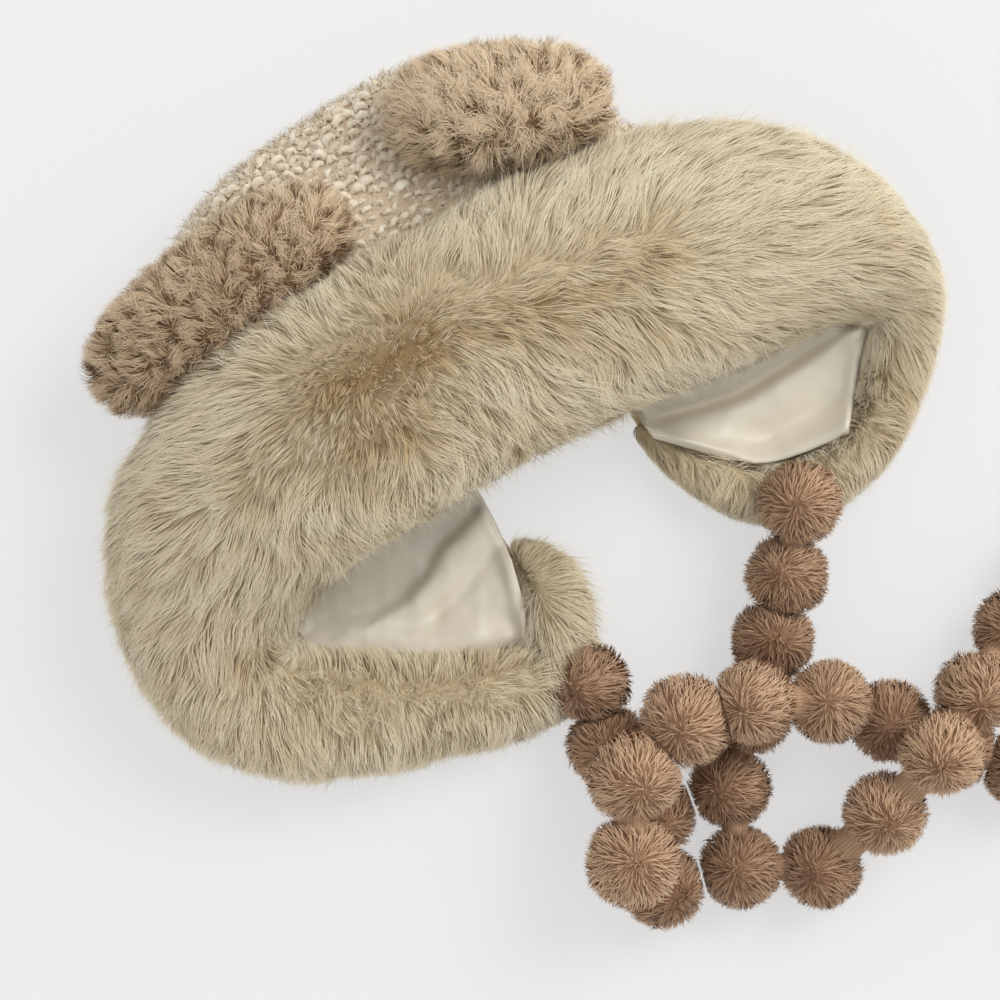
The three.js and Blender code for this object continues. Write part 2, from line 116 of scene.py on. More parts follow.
# How the long fur lies, read off the photograph: at pixel (u, v) it leans along
# (du, dv). A short step is fur that stands nearly upright, as along the parting.
COMB = [
    # over the parting, to the crown's side
    (172, 400, -0.95, 0.10), (206, 371, -0.95, -0.15), (248, 399, -1.0, 0.05),
    (262, 330, -0.90, -0.40), (304, 315, -0.60, -0.75), (350, 285, -0.45, -0.85),
    (400, 262, -0.15, -0.95), (459, 216, 0.05, -1.0), (529, 186, 0.15, -1.0),
    (575, 200, 0.25, -0.95), (615, 186, 0.40, -0.90), (680, 170, 0.60, -0.80),
    (730, 200, 0.78, -0.62), (800, 175, 0.80, -0.60), (844, 200, 0.88, -0.48),
    (700, 235, 0.85, -0.45), (640, 225, 0.45, -0.75), (560, 240, 0.30, -0.75),
    (480, 260, 0.10, -0.80),
    # the right end
    (787, 250, 1.0, -0.10), (887, 272, 1.0, 0.05), (844, 301, 0.88, 0.45),
    (900, 330, 0.85, 0.50), (760, 290, 0.90, 0.40), (701, 301, 0.75, 0.65),
    # the parting itself
    (345, 385, -0.10, 0.12), (390, 350, 0.05, -0.05), (430, 400, 0.25, 0.20),
    (440, 345, 0.30, 0.0), (500, 312, 0.45, 0.10), (560, 300, 0.55, 0.10),
    (620, 285, 0.50, 0.10), (660, 262, 0.45, 0.05), (330, 440, -0.05, 0.30),
    (270, 445, -0.45, 0.35), (380, 300, -0.35, -0.45),
    # below the parting, towards the face
    (501, 371, 0.75, 0.65), (543, 335, 0.90, 0.35), (586, 344, 0.75, 0.65),
    (643, 330, 0.70, 0.72), (529, 400, 0.65, 0.75), (586, 400, 0.60, 0.80),
    (643, 395, 0.60, 0.80), (529, 440, 0.45, 0.88), (758, 340, 0.65, 0.75),
    (700, 365, 0.62, 0.78), (820, 320, 0.75, 0.65), (428, 434, 0.60, 0.75),
    (445, 484, 0.50, 0.85), (377, 490, 0.35, 0.90), (400, 520, 0.50, 0.85),
    (327, 510, 0.20, 0.95), (293, 484, 0.02, 0.95), (293, 560, 0.15, 0.95),
    # the left end, round to the flap's lower edge
    (242, 434, -0.90, 0.20), (191, 451, -0.95, 0.30), (150, 470, -0.95, 0.30),
    (242, 501, -0.50, 0.85), (158, 518, -0.85, 0.50), (125, 560, -0.85, 0.50),
    (174, 603, -0.60, 0.80), (225, 590, -0.30, 0.92), (125, 640, -0.75, 0.65),
    (174, 670, -0.45, 0.90), (150, 715, -0.50, 0.85), (208, 721, -0.28, 0.95),
    (242, 650, -0.25, 0.60), (293, 735, -0.05, 1.0), (394, 735, 0.08, 1.0),
    (496, 725, 0.18, 0.98), (556, 700, 0.55, 0.80), (280, 700, -0.05, 0.52),
    (340, 702, 0.0, 0.44), (400, 704, 0.06, 0.42), (460, 700, 0.10, 0.44),
    (520, 684, 0.35, 0.36), (330, 676, -0.24, -0.34), (400, 678, -0.18, -0.34), (460, 674, -0.02, -0.34),
    (293, 645, -0.30, -0.60), (350, 655, -0.30, -0.85), (400, 655, -0.35, -0.85),
    (440, 655, -0.35, -0.85), (496, 645, 0.15, -0.85), (530, 655, 0.55, -0.50),
    (563, 615, 0.85, -0.30), (546, 565, 0.80, -0.55), (590, 650, 0.80, 0.45),
    # the right flap
    (887, 370, 0.85, 0.50), (900, 420, 0.80, 0.55), (870, 450, 0.70, 0.70),
    (859, 480, 0.60, 0.80), (830, 465, 0.45, 0.85), (780, 470, 0.10, 0.90),
    (700, 455, 0.25, 0.95), (687, 475, 0.10, 1.0), (730, 490, -0.35, 0.93),
    (650, 440, 0.05, 0.95), (745, 520, -0.30, 0.95),
]
# Golden-brown parts of the fur: a line between two pixels, its width in mm and
# how strong it is there.
GOLDEN = [
    (345, 395, 430, 345, 14, 1.15), (400, 420, 360, 440, 12, 0.75),
    (430, 345, 560, 305, 9, 0.70), (560, 305, 655, 262, 8, 0.55),
    (300, 420, 270, 470, 10, 0.30), (290, 690, 540, 682, 8, 0.26),
    (238, 630, 250, 650, 6, 0.45), (455, 400, 520, 440, 12, 0.30),
    (560, 330, 640, 320, 9, 0.28), (900, 350, 900, 420, 9, 0.30),
]


# ------------------------------------------------------------------ helpers
def rng(seed):
    return np.random.default_rng(seed)


def unit(v):
    return v / np.maximum(np.linalg.norm(v, axis=-1, keepdims=True), 1e-9)


def column(values, at):
    """Smooth interpolation of a table's column at fractional rows."""
    values = np.asarray(values, float)
    at = np.asarray(at, float)
    n = len(values)
    i = np.clip(np.floor(at).astype(int), 0, n - 2)
    t = at - i
    a, b, c, d = (values[np.clip(i + k, 0, n - 1)] for k in (-1, 0, 1, 2))
    return 0.5 * (2 * b + (c - a) * t + (2 * a - 5 * b + 4 * c - d) * t**2
                  + (3 * b - a - 3 * c + d) * t**3)


def power(c, e):
    return np.sign(c) * np.abs(c) ** e


COMB_AT = np.stack(hat_xy([r[0] for r in COMB], [r[1] for r in COMB]), -1)
COMB_TO = np.stack(turned(np.array([r[2] for r in COMB]), np.array([r[3] for r in COMB])), -1)


def comb(xy):
    """The fur's lean at places in the hat's axes, blended from the rows near them."""
    out = np.zeros((len(xy), 2))
    for i in range(0, len(xy), 20000):
        d2 = ((xy[i:i + 20000, None] - COMB_AT[None]) ** 2).sum(-1)
        w = 1.0 / (d2 + 9.0) ** 1.7
        out[i:i + 20000] = (w[..., None] * COMB_TO[None]).sum(1) / w.sum(1)[:, None]
    return out


def golden(xy):
    out = np.zeros(len(xy))
    for u1, v1, u2, v2, width, amount in GOLDEN:
        a, b = np.array(hat_xy(u1, v1)), np.array(hat_xy(u2, v2))
        t = np.clip(((xy - a) @ (b - a)) / ((b - a) @ (b - a)), 0, 1)
        d = np.linalg.norm(xy - a - t[:, None] * (b - a), axis=1)
        out = np.maximum(out, amount * np.exp(-((d / width) ** 2)))
    return out


def waves(p, scale, seed, octaves=3):
    """Smooth noise from -1 to 1 at points p, from sums of sines."""
    r = rng(seed)
    out = np.zeros(len(p))
    for k in range(octaves * 5):
        f = unit(r.normal(size=(1, p.shape[1])))[0] * (2 * math.pi / scale) * 1.7 ** (k // 5) * r.uniform(0.7, 1.3)
        out += np.sin(p @ f + r.uniform(0, 6.3)) / 1.5 ** (k // 5)
    return np.clip(out / 3.4, -1, 1)


class Batch:
    """Vertices, faces, map coordinates and normals gathered for one mesh."""

    def __init__(self):
        self.v, self.f3, self.f4, self.uv, self.n, self.m3, self.m4, self.count = [], [], [], [], [], [], [], 0

    def add(self, v, uv, n, f3=None, f4=None, slot=0):
        v = np.asarray(v, float).reshape(-1, 3)
        self.v.append(v)
        self.uv.append(np.asarray(uv, float).reshape(-1, 2))
        self.n.append(np.asarray(n, float).reshape(-1, 3))
        if f3 is not None and len(f3):
            f3 = np.asarray(f3, int).reshape(-1, 3)
            self.f3.append(f3 + self.count)
            self.m3.append(np.full(len(f3), slot))
        if f4 is not None and len(f4):
            f4 = np.asarray(f4, int).reshape(-1, 4)
            self.f4.append(f4 + self.count)
            self.m4.append(np.full(len(f4), slot))
        self.count += len(v)

    def triangles(self):
        return sum(len(f) for f in self.f3) + 2 * sum(len(f) for f in self.f4)

    def mesh(self, name, materials, split_normals=True):
        v = (np.concatenate(self.v) + SHIFT) / 1000.0
        v[:, 2] = np.maximum(v[:, 2], 0.0003)
        uv, n = np.concatenate(self.uv), np.concatenate(self.n)
        f3 = np.concatenate(self.f3) if self.f3 else np.zeros((0, 3), int)
        f4 = np.concatenate(self.f4) if self.f4 else np.zeros((0, 4), int)
        me = bpy.data.meshes.new(name)
        me.vertices.add(len(v))
        me.vertices.foreach_set("co", v.astype(np.float32).ravel())
        loops = np.concatenate([f3.ravel(), f4.ravel()])
        me.loops.add(len(loops))
        me.loops.foreach_set("vertex_index", loops.astype(np.int32))
        me.polygons.add(len(f3) + len(f4))
        start = np.concatenate([np.arange(len(f3)) * 3, 3 * len(f3) + np.arange(len(f4)) * 4])
        me.polygons.foreach_set("loop_start", start.astype(np.int32))
        slots = np.concatenate(self.m3 + self.m4) if self.m3 or self.m4 else np.zeros(0, int)
        me.polygons.foreach_set("material_index", slots.astype(np.int32))
        layer = me.uv_layers.new(name="OFBake")
        layer.uv.foreach_set("vector", uv[loops].astype(np.float32).ravel())
        for m in materials:
            me.materials.append(m)
        me.update(calc_edges=True)
        me.polygons.foreach_set("use_smooth", np.ones(len(me.polygons), bool))
        if split_normals:
            me.normals_split_custom_set_from_vertices(unit(n).astype(np.float32))
        ob = bpy.data.objects.new(name, me)
        bpy.context.scene.collection.objects.link(ob)
        return ob


def grid_faces(rows, cols, wrap=False, flip=False):
    i, j = np.meshgrid(np.arange(rows - 1), np.arange(cols if wrap else cols - 1), indexing="ij")
    k = (j + 1) % cols
    f = np.stack([i * cols + j, i * cols + k, (i + 1) * cols + k, (i + 1) * cols + j], -1).reshape(-1, 4)
    return f[:, ::-1] if flip else f


def grid_normals(p, wrap):
    """Normals of a grid of points (rows, cols, 3), cols wrapping or not."""
    du = np.gradient(p, axis=0)
    if wrap:
        dv = np.roll(p, -1, 1) - np.roll(p, 1, 1)
    else:
        dv = np.gradient(p, axis=1)
    return unit(np.cross(du, dv))


def ribbons(batch, p0, p1, p2, normal, width, shade, r, points=4, blunt=False, twist=0.7,
            v_range=(0.0, 1.0), keep=0.5, profile=None, floor=True, slot=0):
    """Strands as narrow ribbons along quadratic curves p0-p1-p2. normal is the
    surface's, which most of the shading follows; shade goes to the map's u."""
    count = len(p0)
    if not count:
        return
    t = np.linspace(0, 1, points)[None, :, None]
    p = (1 - t) ** 2 * p0[:, None] + 2 * t * (1 - t) * p1[:, None] + t**2 * p2[:, None]
    if floor:
        low = 0.3 + 0.8 * r.random((count, 1))
        p[:, :, 2] = np.maximum(p[:, :, 2], low)
    along = unit(np.gradient(p, axis=1))
    side = np.cross(along, normal[:, None])
    weak = np.linalg.norm(side, axis=-1, keepdims=True) < 0.15
    side = np.where(weak, np.cross(along, unit(r.normal(size=(count, 1, 3)))), side)
    side = unit(side)
    up = unit(np.cross(side, along))
    a = r.normal(0, twist, (count, 1, 1)).clip(-1.3, 1.3)
    side = side * np.cos(a) + up * np.sin(a)
    up = unit(np.cross(side, along))
    flip = np.sign((up * normal[:, None]).sum(-1, keepdims=True))
    flip = np.where(flip == 0, 1, flip)
    if profile is None:
        profile = np.linspace(1.0, 0.35, points) if not blunt else np.linspace(0.8, 1.0, points)
    w = 0.5 * np.asarray(width)[:, None] * np.asarray(profile)[None]
    w = w[..., None]
    body = points if blunt else points - 1
    left, right = p[:, :body] - side[:, :body] * w[:, :body], p[:, :body] + side[:, :body] * w[:, :body]
    # one winding for every ribbon, so its face looks away from the surface
    left, right = np.where(flip[:, :body] > 0, left, right), np.where(flip[:, :body] > 0, right, left)
    v = np.stack([left, right], 2).reshape(count, body * 2, 3)
    n = unit(keep * normal[:, None] + (1 - keep) * up * flip)
    nn = np.repeat(n[:, :body], 2, axis=1)
    along_v = v_range[0] + (v_range[1] - v_range[0]) * t[0, :, 0]
    spread = 0.008
    uv = np.zeros((count, body * 2, 2))
    uv[:, 0::2, 0] = shade[:, None] - spread
    uv[:, 1::2, 0] = shade[:, None] + spread
    uv[:, 0::2, 1] = uv[:, 1::2, 1] = along_v[None, :body]
    per = body * 2
    if not blunt:
        v = np.concatenate([v, p[:, -1:]], 1)
        nn = np.concatenate([nn, n[:, -1:]], 1)
        uv = np.concatenate([uv, np.stack([shade, np.full(count, along_v[-1])], -1)[:, None]], 1)
        per += 1
    base = np.arange(count)[:, None] * per
    quads = np.concatenate([base + np.array([[2 * k, 2 * k + 1, 2 * k + 3, 2 * k + 2]]) for k in range(body - 1)])
    tris = None if blunt else base + np.array([[2 * body - 2, 2 * body - 1, 2 * body]])
    batch.add(v, uv.clip(0.001, 0.999), nn, tris, quads, slot)


def clump(root, p1, p2, normal, every, pull, r, spread=0.25):
    """Draws strands together into locks: each follows the guide nearest its root."""
    guides = np.arange(0, len(root), every)
    tree = KDTree(len(guides))
    for k, g in enumerate(guides):
        tree.insert(root[g], k)
    tree.balance()
    near = np.array([guides[tree.find(q)[1]] for q in root])
    c = np.clip(pull * r.uniform(0.5, 1.3, len(root)), 0, 0.95)[:, None]
    off = root - root[near]
    p1 = p1 * (1 - 0.4 * c) + (p1[near] + off * 0.7) * 0.4 * c
    p2 = p2 * (1 - c) + (p2[near] + off * spread) * c
    return p1, p2, near


# ------------------------------------------------------------------- forms
class Roll:
    """A roll of fur along a table of stations. s runs over the stations, and a
    little past each end over its rounded cap; a runs round the section."""

    def __init__(self, rows, cap_a, cap_b, slope=None):
        self.rows = np.array(rows, float)
        self.slope = slope          # how far the side by the lining slopes, by station
        self.cap_a, self.cap_b = cap_a, cap_b
        self.last = len(rows) - 1
        s = np.linspace(0, self.last, 400)
        self.line_s = s
        self.line = np.stack([column(self.rows[:, 0], s), column(self.rows[:, 1], s)], -1)

    def heading(self, s):
        d = 0.05
        a, b = np.clip(s - d, 0, self.last), np.clip(s + d, 0, self.last)
        t = np.stack([column(self.rows[:, k], b) - column(self.rows[:, k], a) for k in (0, 1)], -1)
        return unit(t)

    def point(self, s, a, inset=0.0):
        s, a = np.broadcast_arrays(np.asarray(s, float), np.asarray(a, float))
        inside = np.clip(s, 0, self.last)
        over_a, over_b = np.clip(-s, 0, 1), np.clip(s - self.last, 0, 1)
        over = over_a + over_b
        shrink = np.sqrt(np.clip(1 - over**2, 1e-6, 1))
        push = (self.cap_b - inset * 0.7) * over_b - (self.cap_a - inset * 0.7) * over_a
        x, y, half, low, top = (column(self.rows[:, k], inside) for k in range(5))
        half, low, top = np.maximum(half - inset, 1.0), low + inset, top - inset
        top = np.maximum(top, low + 2)
        mid = low + 0.44 * (top - low)
        steep = 0.88
        if self.slope is not None:
            steep = 0.88 + np.where(np.sin(a) > 0, self.slope(inside, np.cos(a)), 0.0)
        cu, cz = power(np.cos(a), 0.88), power(np.sin(a), steep)
        u = half * shrink * cu
        z = mid + np.where(cz > 0, top - mid, mid - low) * shrink * cz
        t = self.heading(inside)
        return np.stack([x - t[..., 1] * u + t[..., 0] * push,
                         y + t[..., 0] * u + t[..., 1] * push, z], -1)

    def axis(self, s):
        """Points on the roll's middle line."""
        x, y, half, low, top = (column(self.rows[:, k], np.clip(s, 0, self.last)) for k in range(5))
        return np.stack([x, y, low + 0.44 * (top - low)], -1)

    def reach(self, p, margin=0.0, near=None):
        """How far out points lie, 1 on the roll's surface; and the middle line by
        them. near gives each point's own station, to look only round about it."""
        out, mids = np.zeros(len(p)), np.zeros((len(p), 3))
        for i in range(0, len(p), 8000):
            q = p[i:i + 8000]
            if near is None:
                d2 = ((q[:, None, :2] - self.line[None]) ** 2).sum(-1)
                k = d2.argmin(1)
            else:
                per = 399 / self.last
                first = np.round(near[i:i + 8000] * per).astype(int)
                window = np.clip(first[:, None] + np.arange(-int(1.3 * per), int(1.3 * per) + 1), 0, 399)
                d2 = ((q[:, None, :2] - self.line[window]) ** 2).sum(-1)
                best = d2.argmin(1)
                k = window[np.arange(len(q)), best]
                d2 = d2[np.arange(len(q)), best][:, None]
            s = self.line_s[k]
            half, low, top = (column(self.rows[:, c], s) for c in (2, 3, 4))
            half, low, top = half + margin, low - margin, top + margin
            mid = low + 0.44 * (top - low)
            zz = (q[:, 2] - mid) / np.where(q[:, 2] > mid, top - mid, mid - low)
            d2 = d2[:, 0] if near is not None else d2[np.arange(len(q)), k]
            e = (d2 / half**2) ** (1 / 0.88) + np.abs(zz) ** (2 / 0.88)
            out[i:i + 8000] = e ** 0.44
            mids[i:i + 8000] = np.column_stack([self.line[k], mid])
        return out, mids

    def holds(self, p, margin=0.0):
        return self.reach(p, margin)[0] < 1

    def fit(self, p, limit, near):
        """Points that stand out of the roll, drawn back to limit times its size."""
        e, mids = self.reach(p, near=near)
        k = np.where(e > limit, limit / np.maximum(e, 1e-6), 1.0)
        return mids + (p - mids) * k[:, None]


def sample_grid(fn, s, a, count, r, weight=None, wrap=True):
    """Random places spread evenly over the surface fn(s, a): points, normals and
    the parameters. weight thins or thickens them by normal and place."""
    S, A = np.meshgrid(s, a, indexing="ij")
    p = fn(S, A)
    if wrap:
        nxt = np.roll(p, -1, 1)
        du = p[1:] - p[:-1]
        dv = (nxt - p)[:-1]
    else:
        du = (p[1:] - p[:-1])[:, :-1]
        dv = (p[:, 1:] - p[:, :-1])[:-1]
    cross = np.cross(du, dv)
    area = np.linalg.norm(cross, axis=-1)
    mid = p[:-1] if wrap else p[:-1, :-1]
    w = area.copy()
    if weight is not None:
        w *= weight(mid.reshape(-1, 3), unit(cross).reshape(-1, 3)).reshape(w.shape)
    w = w.ravel() / w.sum()
    pick = r.choice(len(w), size=count, p=w)
    i, j = np.unravel_index(pick, area.shape)
    ds, da = s[1] - s[0], a[1] - a[0]
    ss = s[i] + r.random(count) * ds
    aa = a[j] + r.random(count) * da
    e = 1e-3
    q = fn(ss, aa)
    n = unit(np.cross(fn(ss + e, aa) - fn(ss - e, aa), fn(ss, aa + e) - fn(ss, aa - e)))
    return q, n, ss, aa


def by_lining(s, c):
    """The fur roll slopes where it edges a flap, on the side away from its heading's left."""
    return 0.45 * np.clip(-c, 0, 1) * np.maximum(np.clip((5.6 - s) / 1.4, 0, 1), np.clip((s - 17.2) / 0.8, 0, 1))


band = Roll(ROLL, 12, 5, by_lining)
front_edge = Roll(LEFT_FRONT_EDGE, 8, 6, lambda s, c: 0.45 * np.clip(c, 0, 1) + 0 * s)
SEAM_LEFT, SEAM_RIGHT = -66, -86


def crown_fold(x, y):
    return sum(rise * np.exp(-(((x - fx) / al) ** 2) - ((y - fy) / ac) ** 2)
               for fx, fy, al, ac, rise in CROWN_FOLDS)


def crown_point(s, a, inset=0.0):
    s, a = np.broadcast_arrays(np.asarray(s, float), np.asarray(a, float))
    y, half, right, top = (column(CROWN[k], s) for k in ("y", "half", "right", "top"))
    last = len(CROWN["y"]) - 1
    y = y - inset * s / last
    h = np.where(np.cos(a) > 0, right, half)
    h, t, low = np.maximum(h - inset, 0.5), top - inset, -4.0
    t = np.maximum(t, 3)
    mid = 0.42 * t
    cx = power(np.cos(a), 0.8)
    sn = np.sin(a)
    cz = np.where(sn > 0, np.abs(sn) ** 0.72, -np.abs(sn) ** 0.6)
    end = np.sqrt(np.clip(half / 42.0, 0, 1))        # rounds off the closed end
    x = h * cx
    z = mid + np.where(cz > 0, t - mid, mid - low) * cz * end
    z = z + np.where(cz > 0, crown_fold(x, y) * cz, 0)
    z = np.maximum(z, 0.4 + inset)
    return np.stack([x, y, z], -1)


def crown_roof(x, y):
    """Height of the crown's upper side, or -99 beyond its outline."""
    ys = np.array(CROWN["y"], float)
    half = np.where(x > 0, np.interp(y, ys, CROWN["right"], left=-1, right=-1),
                    np.interp(y, ys, CROWN["half"], left=-1, right=-1))
    top = np.interp(y, ys, CROWN["top"])
    c = np.clip(np.abs(x) / np.maximum(half, 1e-3), 0, 1) ** (1 / 0.8)
    s = np.sqrt(np.clip(1 - c**2, 0, 1))
    z = 0.42 * top + 0.58 * top * s**0.72 + crown_fold(x, y) * s
    return np.where((half > 0) & (np.abs(x) < half), z, -99)


def in_crown(p, margin=0.0):
    return p[:, 2] < crown_roof(p[:, 0], p[:, 1]) + margin


class Pad:
    def __init__(self, x, y, z, along, across, thick, turn, dip):
        self.c = np.array([x, y, z], float)
        self.r = np.array([along, across, thick], float)
        a, b = math.radians(turn), math.radians(-dip)
        ry = np.array([[math.cos(b), 0, math.sin(b)], [0, 1, 0], [-math.sin(b), 0, math.cos(b)]])
        rz = np.array([[math.cos(a), -math.sin(a), 0], [math.sin(a), math.cos(a), 0], [0, 0, 1]])
        self.m = rz @ ry

    def point(self, s, a, inset=0.0):
        """s from 0 to pi, a from 0 to 2 pi."""
        s, a = np.broadcast_arrays(np.asarray(s, float), np.asarray(a, float))
        q = np.stack([np.cos(s), np.sin(s) * np.cos(a), np.sin(s) * np.sin(a)], -1)
        q = q / (np.abs(q) ** 2.6).sum(-1, keepdims=True) ** (1 / 2.6) * np.maximum(self.r - inset, 1)
        return q @ self.m.T + self.c

    def holds(self, p, margin=0.0):
        q = (p - self.c) @ self.m / (self.r + margin)
        return (np.abs(q) ** 2.6).sum(-1) < 1


ears = {name: Pad(*row) for name, row in EARS.items()}


# --------------------------------------------------------------- materials
def srgb(r, g, b):
    """Linear colour from the 0-255 numbers of a screen colour."""
    c = np.array([r, g, b]) / 255.0
    c = np.where(c <= 0.04045, c / 12.92, ((c + 0.055) / 1.055) ** 2.4)
    return (float(c[0]), float(c[1]), float(c[2]), 1.0)


def new_material(name, roughness, specular=0.3, sheen=0.0, sheen_rough=0.4, sheen_tint=(1, 1, 1, 1)):
    mat = bpy.data.materials.new(name)
    mat.use_nodes = True
    nt = mat.node_tree
    shader = nt.nodes["Principled BSDF"]
    shader.inputs["Roughness"].default_value = roughness
    shader.inputs["Specular IOR Level"].default_value = specular
    shader.inputs["Sheen Weight"].default_value = sheen
    shader.inputs["Sheen Roughness"].default_value = sheen_rough
    shader.inputs["Sheen Tint"].default_value = sheen_tint
    return mat, nt, shader


def ramp_of(nt, fac, stops, interpolation="LINEAR"):
    ramp = nt.nodes.new("ShaderNodeValToRGB")
    ramp.color_ramp.interpolation = interpolation
    el = ramp.color_ramp.elements
    while len(el) > 1:
        el.remove(el[-1])
    el[0].position, el[0].color = stops[0]
    for pos, col in stops[1:]:
        e = el.new(pos)
        e.color = col
    nt.links.new(fac, ramp.inputs["Fac"])
    return ramp.outputs["Color"]


def mix_of(nt, fac, a, b, blend="MIX"):
    m = nt.nodes.new("ShaderNodeMix")
    m.data_type, m.blend_type = "RGBA", blend
    if isinstance(fac, float):
        m.inputs[0].default_value = fac
    else:
        nt.links.new(fac, m.inputs[0])
    for k, s in ((6, a), (7, b)):
        if isinstance(s, tuple):
            m.inputs[k].default_value = s
        else:
            nt.links.new(s, m.inputs[k])
    return m.outputs[2]


def strand_material(name, plain, deep, roughness=0.8, specular=0.2, sheen=0.25, sheen_rough=0.5,
                    sheen_tint=(1, 1, 1, 1), mottle=0.0):
    """Colour from the strand map: v is root to tip, u goes from the plain ramp to
    the deep one."""
    mat, nt, shader = new_material(name, roughness, specular, sheen, sheen_rough, sheen_tint)
    uv = nt.nodes.new("ShaderNodeUVMap")
    uv.uv_map = "OFBake"
    sep = nt.nodes.new("ShaderNodeSeparateXYZ")
    nt.links.new(uv.outputs["UV"], sep.inputs[0])
    a = ramp_of(nt, sep.outputs["Y"], plain)
    b = ramp_of(nt, sep.outputs["Y"], deep)
    nt.links.new(mix_of(nt, sep.outputs["X"], a, b), shader.inputs["Base Color"])
    return mat


fur_mat = strand_material(
    "long_fur",
    [(0.0, srgb(204, 187, 152)), (0.30, srgb(224, 210, 178)), (0.62, srgb(236, 226, 198)), (1.0, srgb(245, 237, 215))],
    [(0.0, srgb(116, 88, 50)), (0.30, srgb(164, 132, 86)), (0.65, srgb(208, 178, 130)), (1.0, srgb(234, 210, 168))],
    roughness=0.7, specular=0.25, sheen=0.2, sheen_tint=srgb(250, 244, 226),
)
ear_mat = strand_material(
    "ear_plush",
    [(0.0, srgb(182, 150, 112)), (0.4, srgb(224, 198, 160)), (1.0, srgb(250, 233, 205))],
    [(0.0, srgb(120, 84, 58)), (0.45, srgb(170, 134, 100)), (1.0, srgb(214, 184, 148))],
    sheen=0.2, sheen_tint=srgb(246, 236, 220),
)
yarn_mat = strand_material(
    "pompom_yarn",
    [(0.0, srgb(164, 128, 98)), (0.4, srgb(202, 164, 131)), (1.0, srgb(238, 207, 172))],
    [(0.0, srgb(112, 80, 58)), (0.45, srgb(146, 110, 84)), (1.0, srgb(186, 150, 120))],
    sheen=0.2, sheen_tint=srgb(238, 222, 204),
)
knit_mat = strand_material(
    "knit_yarn",
    [(0.0, srgb(190, 173, 146)), (0.35, srgb(224, 209, 182)), (0.7, srgb(247, 237, 216)), (1.0, srgb(252, 246, 230))],
    [(0.0, srgb(146, 122, 96)), (0.4, srgb(196, 170, 140)), (1.0, srgb(238, 218, 190))],
    sheen=0.2, sheen_tint=srgb(246, 240, 226),
)


def object_noise(nt, scale, detail=4.0, rough=0.6, distortion=0.0, stretch=None):
    co = nt.nodes.new("ShaderNodeTexCoord")
    source = co.outputs["Object"]
    if stretch:
        m = nt.nodes.new("ShaderNodeMapping")
        m.inputs["Scale"].default_value = stretch
        nt.links.new(source, m.inputs["Vector"])
        source = m.outputs[0]
    n = nt.nodes.new("ShaderNodeTexNoise")
    n.inputs["Scale"].default_value = scale
    n.inputs["Detail"].default_value = detail
    n.inputs["Roughness"].default_value = rough
    n.inputs["Distortion"].default_value = distortion
    nt.links.new(source, n.inputs["Vector"])
    return n.outputs["Fac"]


def bump_of(nt, shader, height, strength, distance):
    b = nt.nodes.new("ShaderNodeBump")
    b.inputs["Strength"].default_value = strength
    b.inputs["Distance"].default_value = distance
    nt.links.new(height, b.inputs["Height"])
    nt.links.new(b.outputs[0], shader.inputs["Normal"])


def satin_material():
    mat, nt, shader = new_material("satin_lining", 0.38, 0.45, 0.35, 0.35, srgb(255, 252, 240))
    n = object_noise(nt, 26, 3.0, 0.5)
    base = ramp_of(nt, n, [(0.3, srgb(222, 213, 195)), (0.7, srgb(233, 226, 209))])
    # painted shade: a darkening per vertex, multiplied into the satin's colour where it lies under the forehead roll
    satin_painted_shade = nt.nodes.new("ShaderNodeVertexColor")
    satin_painted_shade.layer_name = "satin_painted_shade"
    nt.links.new(mix_of(nt, 1.0, base, satin_painted_shade.outputs["Color"], "MULTIPLY"), shader.inputs["Base Color"])
    co = nt.nodes.new("ShaderNodeTexCoord")
    m = nt.nodes.new("ShaderNodeMapping")
    m.inputs["Rotation"].default_value = (0, 0, 0.6)
    nt.links.new(co.outputs["Object"], m.inputs["Vector"])
    w = nt.nodes.new("ShaderNodeTexWave")
    w.inputs["Scale"].default_value = 900
    w.inputs["Distortion"].default_value = 2.0
    nt.links.new(m.outputs[0], w.inputs["Vector"])
    fine = object_noise(nt, 240, 4.0, 0.6)
    add = nt.nodes.new("ShaderNodeMath")
    add.operation = "MULTIPLY_ADD"
    add.inputs[1].default_value = 0.25
    nt.links.new(w.outputs["Fac"], add.inputs[0])
    nt.links.new(fine, add.inputs[2])
    bump_of(nt, shader, add.outputs[0], 0.12, 0.0006)
    return mat


def felt_material():
    """The woven backing of the flaps, which lies on the surface."""
    mat, nt, shader = new_material("fur_backing", 0.9, 0.2, 0.2, 0.5, srgb(240, 232, 212))
    n = object_noise(nt, 180, 5.0, 0.7)
    base = ramp_of(nt, n, [(0.3, srgb(168, 150, 116)), (0.7, srgb(204, 190, 156))])
    nt.links.new(base, shader.inputs["Base Color"])
    bump_of(nt, shader, object_noise(nt, 600, 4.0, 0.7), 0.4, 0.0008)
    return mat


satin_mat = satin_material()
felt_mat = felt_material()


# ------------------------------------------------------------ the long fur
def fur_depth(half):
    """How far the fur's backing lies under the tips."""
    return np.minimum(8.5, 0.45 * half)


